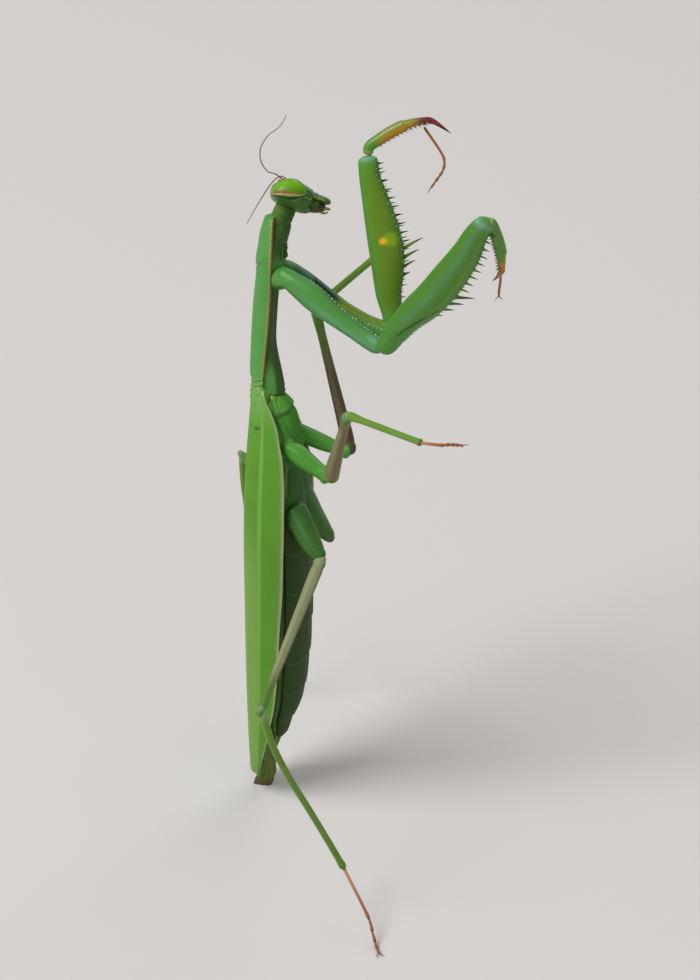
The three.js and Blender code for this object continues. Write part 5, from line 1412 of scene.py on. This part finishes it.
def hind_wing(turn):
    """A hind wing folded like a fan: a blade whose faces are pleated along their length."""
    z = np.r_[np.linspace(0, 3, 60), np.linspace(3.1, 41.5, 120)]
    back, thick, wide = HIND_BACK(z), HIND_THICK(z), HIND_WIDTH(z)
    droop, fold = 0.16 * wide, 0.02 + 0 * z
    x = [back, back, back + droop * 0.25, back + droop, back + droop + thick * 0.5,
         back + droop * 0.25 + thick, back + thick, back + thick]
    y = [fold, wide * 0.5, wide * 0.75, wide, wide * 0.97, wide * 0.7, wide * 0.5, fold]
    q = np.linspace(0, 1, 73)[:-1]
    knots = np.linspace(0, 1, 9)
    basis = np.stack([through(*zip(knots, np.r_[row, row[0]]))(q) for row in np.eye(8)])
    wave = np.cos(q * 2 * np.pi * HIND_PLEATS)
    pleat = 0.05 * wave * rounded(z, 0.3)[:, None]
    x = np.stack(x, 1) @ basis + pleat * np.where(q < 0.5, -1, 1)
    y = np.stack(y, 1) @ basis - 0.5 * pleat
    made = np.stack([x, (HIND_SPLIT(z) + LEAN(z))[:, None] + turn * y, z[:, None] + 0 * q], -1)
    return Shape().tubes(made, pleat=0.5 + 0.5 * wave, low=fall(z, 0.0, 1.3)[:, None])


def leather():
    """The fore wings' skin: a waxy margin, fine cross lines, a net of cells and pale veins."""
    paint = Paint("tegmen_leather")
    place = paint.place()
    across, high, margin = (paint.value(k) for k in ("wing_across", "wing_high", "margin"))
    broad = paint.noise(place, 0.35, 3.0)
    fine = paint.noise(place, 4.0, 3.0)
    colour = paint.mix(tint("wing", 0.9), tint("wing", 1.12), broad)
    colour = paint.mix(colour, tint("glaucous"), margin * 0.9)
    waves = (high * 45 + across * 9) * 17 + fine * 2
    cross = (waves.math("SINE", waves) - 0.1).limit() * (1 - margin)
    lines = (1 - paint.cells(place, 2.6, "DISTANCE_TO_EDGE") * 9).limit()
    for layer, share in (
            (tint("wing", 1.55), cross * 0.5), (tint("wing", 0.75), lines * 0.2),
            (tint("glaucous", 1.2), paint.value("vein") * 0.8),
            ((0.15, 0.34, 0.07), paint.value("root") * 0.7),
            (tint("cream"), paint.value("costa")), ((0.22, 0.11, 0.06), paint.value("rust")),
            ((0.02, 0.012, 0.008), paint.value("mark"))):
        colour = paint.mix(colour, layer, share)
    normal = paint.bump(lines + cross, 0.015, 0.6)
    normal = paint.bump(fine, 0.02, 0.4, Normal=normal)
    return paint.finish(colour, 0.5 + (fine - 0.5) * 0.2, normal, Coat_Weight=0.05,
                        Coat_Roughness=COAT_ROUGHNESS, Specular_IOR_Level=0.35)


class MANTIS_OT_wings(bpy.types.Operator):
    """Builds the two leathery fore wings and the folded hind wings under them"""

    bl_idname = "mantis.wings"
    bl_label = "Wings"

    def execute(self, context):
        skin = leather()
        for side, turn, roof in (("right", -1, LOWER_ROOF), ("left", 1, UPPER_ROOF)):
            fore_wing(turn, roof).piece(f"fore_wing_{side}", skin, [f"tegmen_{side}"], "fore_wing")
        film = cuticle("hind_wing_film", (0.085, 0.14, 0.012), rough=0.45,
                       pleat=(0.12, 0.18, 0.02), low=(0.09, 0.06, 0.018))
        for side, turn in (("right", -1), ("left", 1)):
            hind_wing(turn).piece(f"folded_wing_{side}", film, [f"hind_wing_{side}"], "hind_wing")
        return {"FINISHED"}


# ---- stage ----
VIEW_AZIMUTH, VIEW_HEIGHT = math.radians(20), math.radians(30)
VIEW_DISTANCE, VIEW_LENS, SENSOR = 420, 156.7542857, 36.0
VIEW_RIGHT, VIEW_UP = 8.72647, 30.08066  # middle of the view, beside and above the origin
VIEW_TARGET = Vector((2, 0, 35))  # the place from which the distance is measured
FLOOR_REACH = 3.0
LAMP_TARGET = Vector((0, 0, 0.03))
# Lamps are (name, place, power, width).
LAMPS = [("key", (-0.38, -0.38, 0.7), 6.0, 0.45), ("fill", (0.7, -0.5, 0.35), 0.7, 0.6),
         ("back", (0.1, 0.7, 0.6), 2.0, 0.6)]
SKY, SKY_POWER = (1.0, 0.97, 0.90, 1), 0.36


def add_floor(scene):
    """A wide plain square."""
    far = FLOOR_REACH
    mesh = bpy.data.meshes.new("floor")
    mesh.from_pydata([(-far, -far, 0), (far, -far, 0), (far, far, 0), (-far, far, 0)], [],
                     [(0, 1, 2, 3)])
    mesh.materials.append(Paint("pale_floor").finish((0.62, 0.60, 0.60), 0.8))
    floor = bpy.data.objects.new("floor", mesh)
    scene.collection.objects.link(floor)


def add_lights(scene):
    """A pale sky and three soft lamps."""
    world = bpy.data.worlds.new("studio")
    world.use_nodes = True
    sky = world.node_tree.nodes["Background"]
    sky.inputs[0].default_value, sky.inputs[1].default_value = SKY, SKY_POWER
    scene.world = world
    scene.view_settings.view_transform = "Standard"
    for name, place, power, width in LAMPS:
        light = bpy.data.lights.new(name, "AREA")
        light.energy, light.size = power, width
        lamp = bpy.data.objects.new(name, light)
        lamp.location = place
        towards = LAMP_TARGET - Vector(place)
        lamp.rotation_euler = towards.to_track_quat("-Z", "Y").to_euler()
        scene.collection.objects.link(lamp)


def add_camera(scene):
    """A long lens that looks down on the animal's right side and belly."""
    level = math.cos(VIEW_HEIGHT)
    back = Vector((math.sin(VIEW_AZIMUTH) * level, -math.cos(VIEW_AZIMUTH) * level,
                   math.sin(VIEW_HEIGHT)))
    right = Vector((math.cos(VIEW_AZIMUTH), math.sin(VIEW_AZIMUTH), 0))
    up = back.cross(right)
    place = back * (VIEW_DISTANCE + VIEW_TARGET.dot(back)) + right * VIEW_RIGHT + up * VIEW_UP
    data = bpy.data.cameras.new("camera")
    data.sensor_width, data.lens = SENSOR, VIEW_LENS
    data.clip_start, data.clip_end = 0.01, 10
    camera = bpy.data.objects.new("camera", data)
    camera.matrix_world = Matrix((right, up, back)).transposed().to_4x4()
    camera.matrix_world.translation = place * MM
    scene.collection.objects.link(camera)
    scene.camera = camera


class MANTIS_OT_stage(bpy.types.Operator):
    """Builds the plain pale floor, the soft lights and the camera"""

    bl_idname = "mantis.stage"
    bl_label = "Stage"

    def execute(self, context):
        for add in (add_floor, add_lights, add_camera):
            add(context.scene)
        return {"FINISHED"}


OPERATORS = (MANTIS_OT_trunk, MANTIS_OT_prothorax, MANTIS_OT_head, MANTIS_OT_eyes,
             MANTIS_OT_antennae, MANTIS_OT_fore_legs, MANTIS_OT_walking_legs, MANTIS_OT_wings,
             MANTIS_OT_stage)


class MANTIS_PT_panel(bpy.types.Panel):
    """Lists the settings and the steps of the mantis"""

    bl_label = "Mantis"
    bl_idname = "MANTIS_PT_panel"
    bl_space_type = "VIEW_3D"
    bl_region_type = "UI"
    bl_category = "Mantis"

    def draw(self, context):
        for group in (context.scene.mantis_colours, context.scene.mantis_sizes):
            for key in group.__annotations__:
                self.layout.prop(group, key)
        for operator in OPERATORS:
            self.layout.operator(operator.bl_idname)


CLASSES = (MantisColours, MantisSizes, *OPERATORS, MANTIS_PT_panel)


def register():
    for item in CLASSES:
        bpy.utils.register_class(item)
    bpy.types.Scene.mantis_colours = PointerProperty(type=MantisColours)
    bpy.types.Scene.mantis_sizes = PointerProperty(type=MantisSizes)


def unregister():
    del bpy.types.Scene.mantis_sizes, bpy.types.Scene.mantis_colours
    for item in reversed(CLASSES):
        bpy.utils.unregister_class(item)


def main():
    register()
    for operator in OPERATORS:
        group, step = operator.bl_idname.split(".")
        getattr(getattr(bpy.ops, group), step)()


if __name__ == "__main__":
    main()
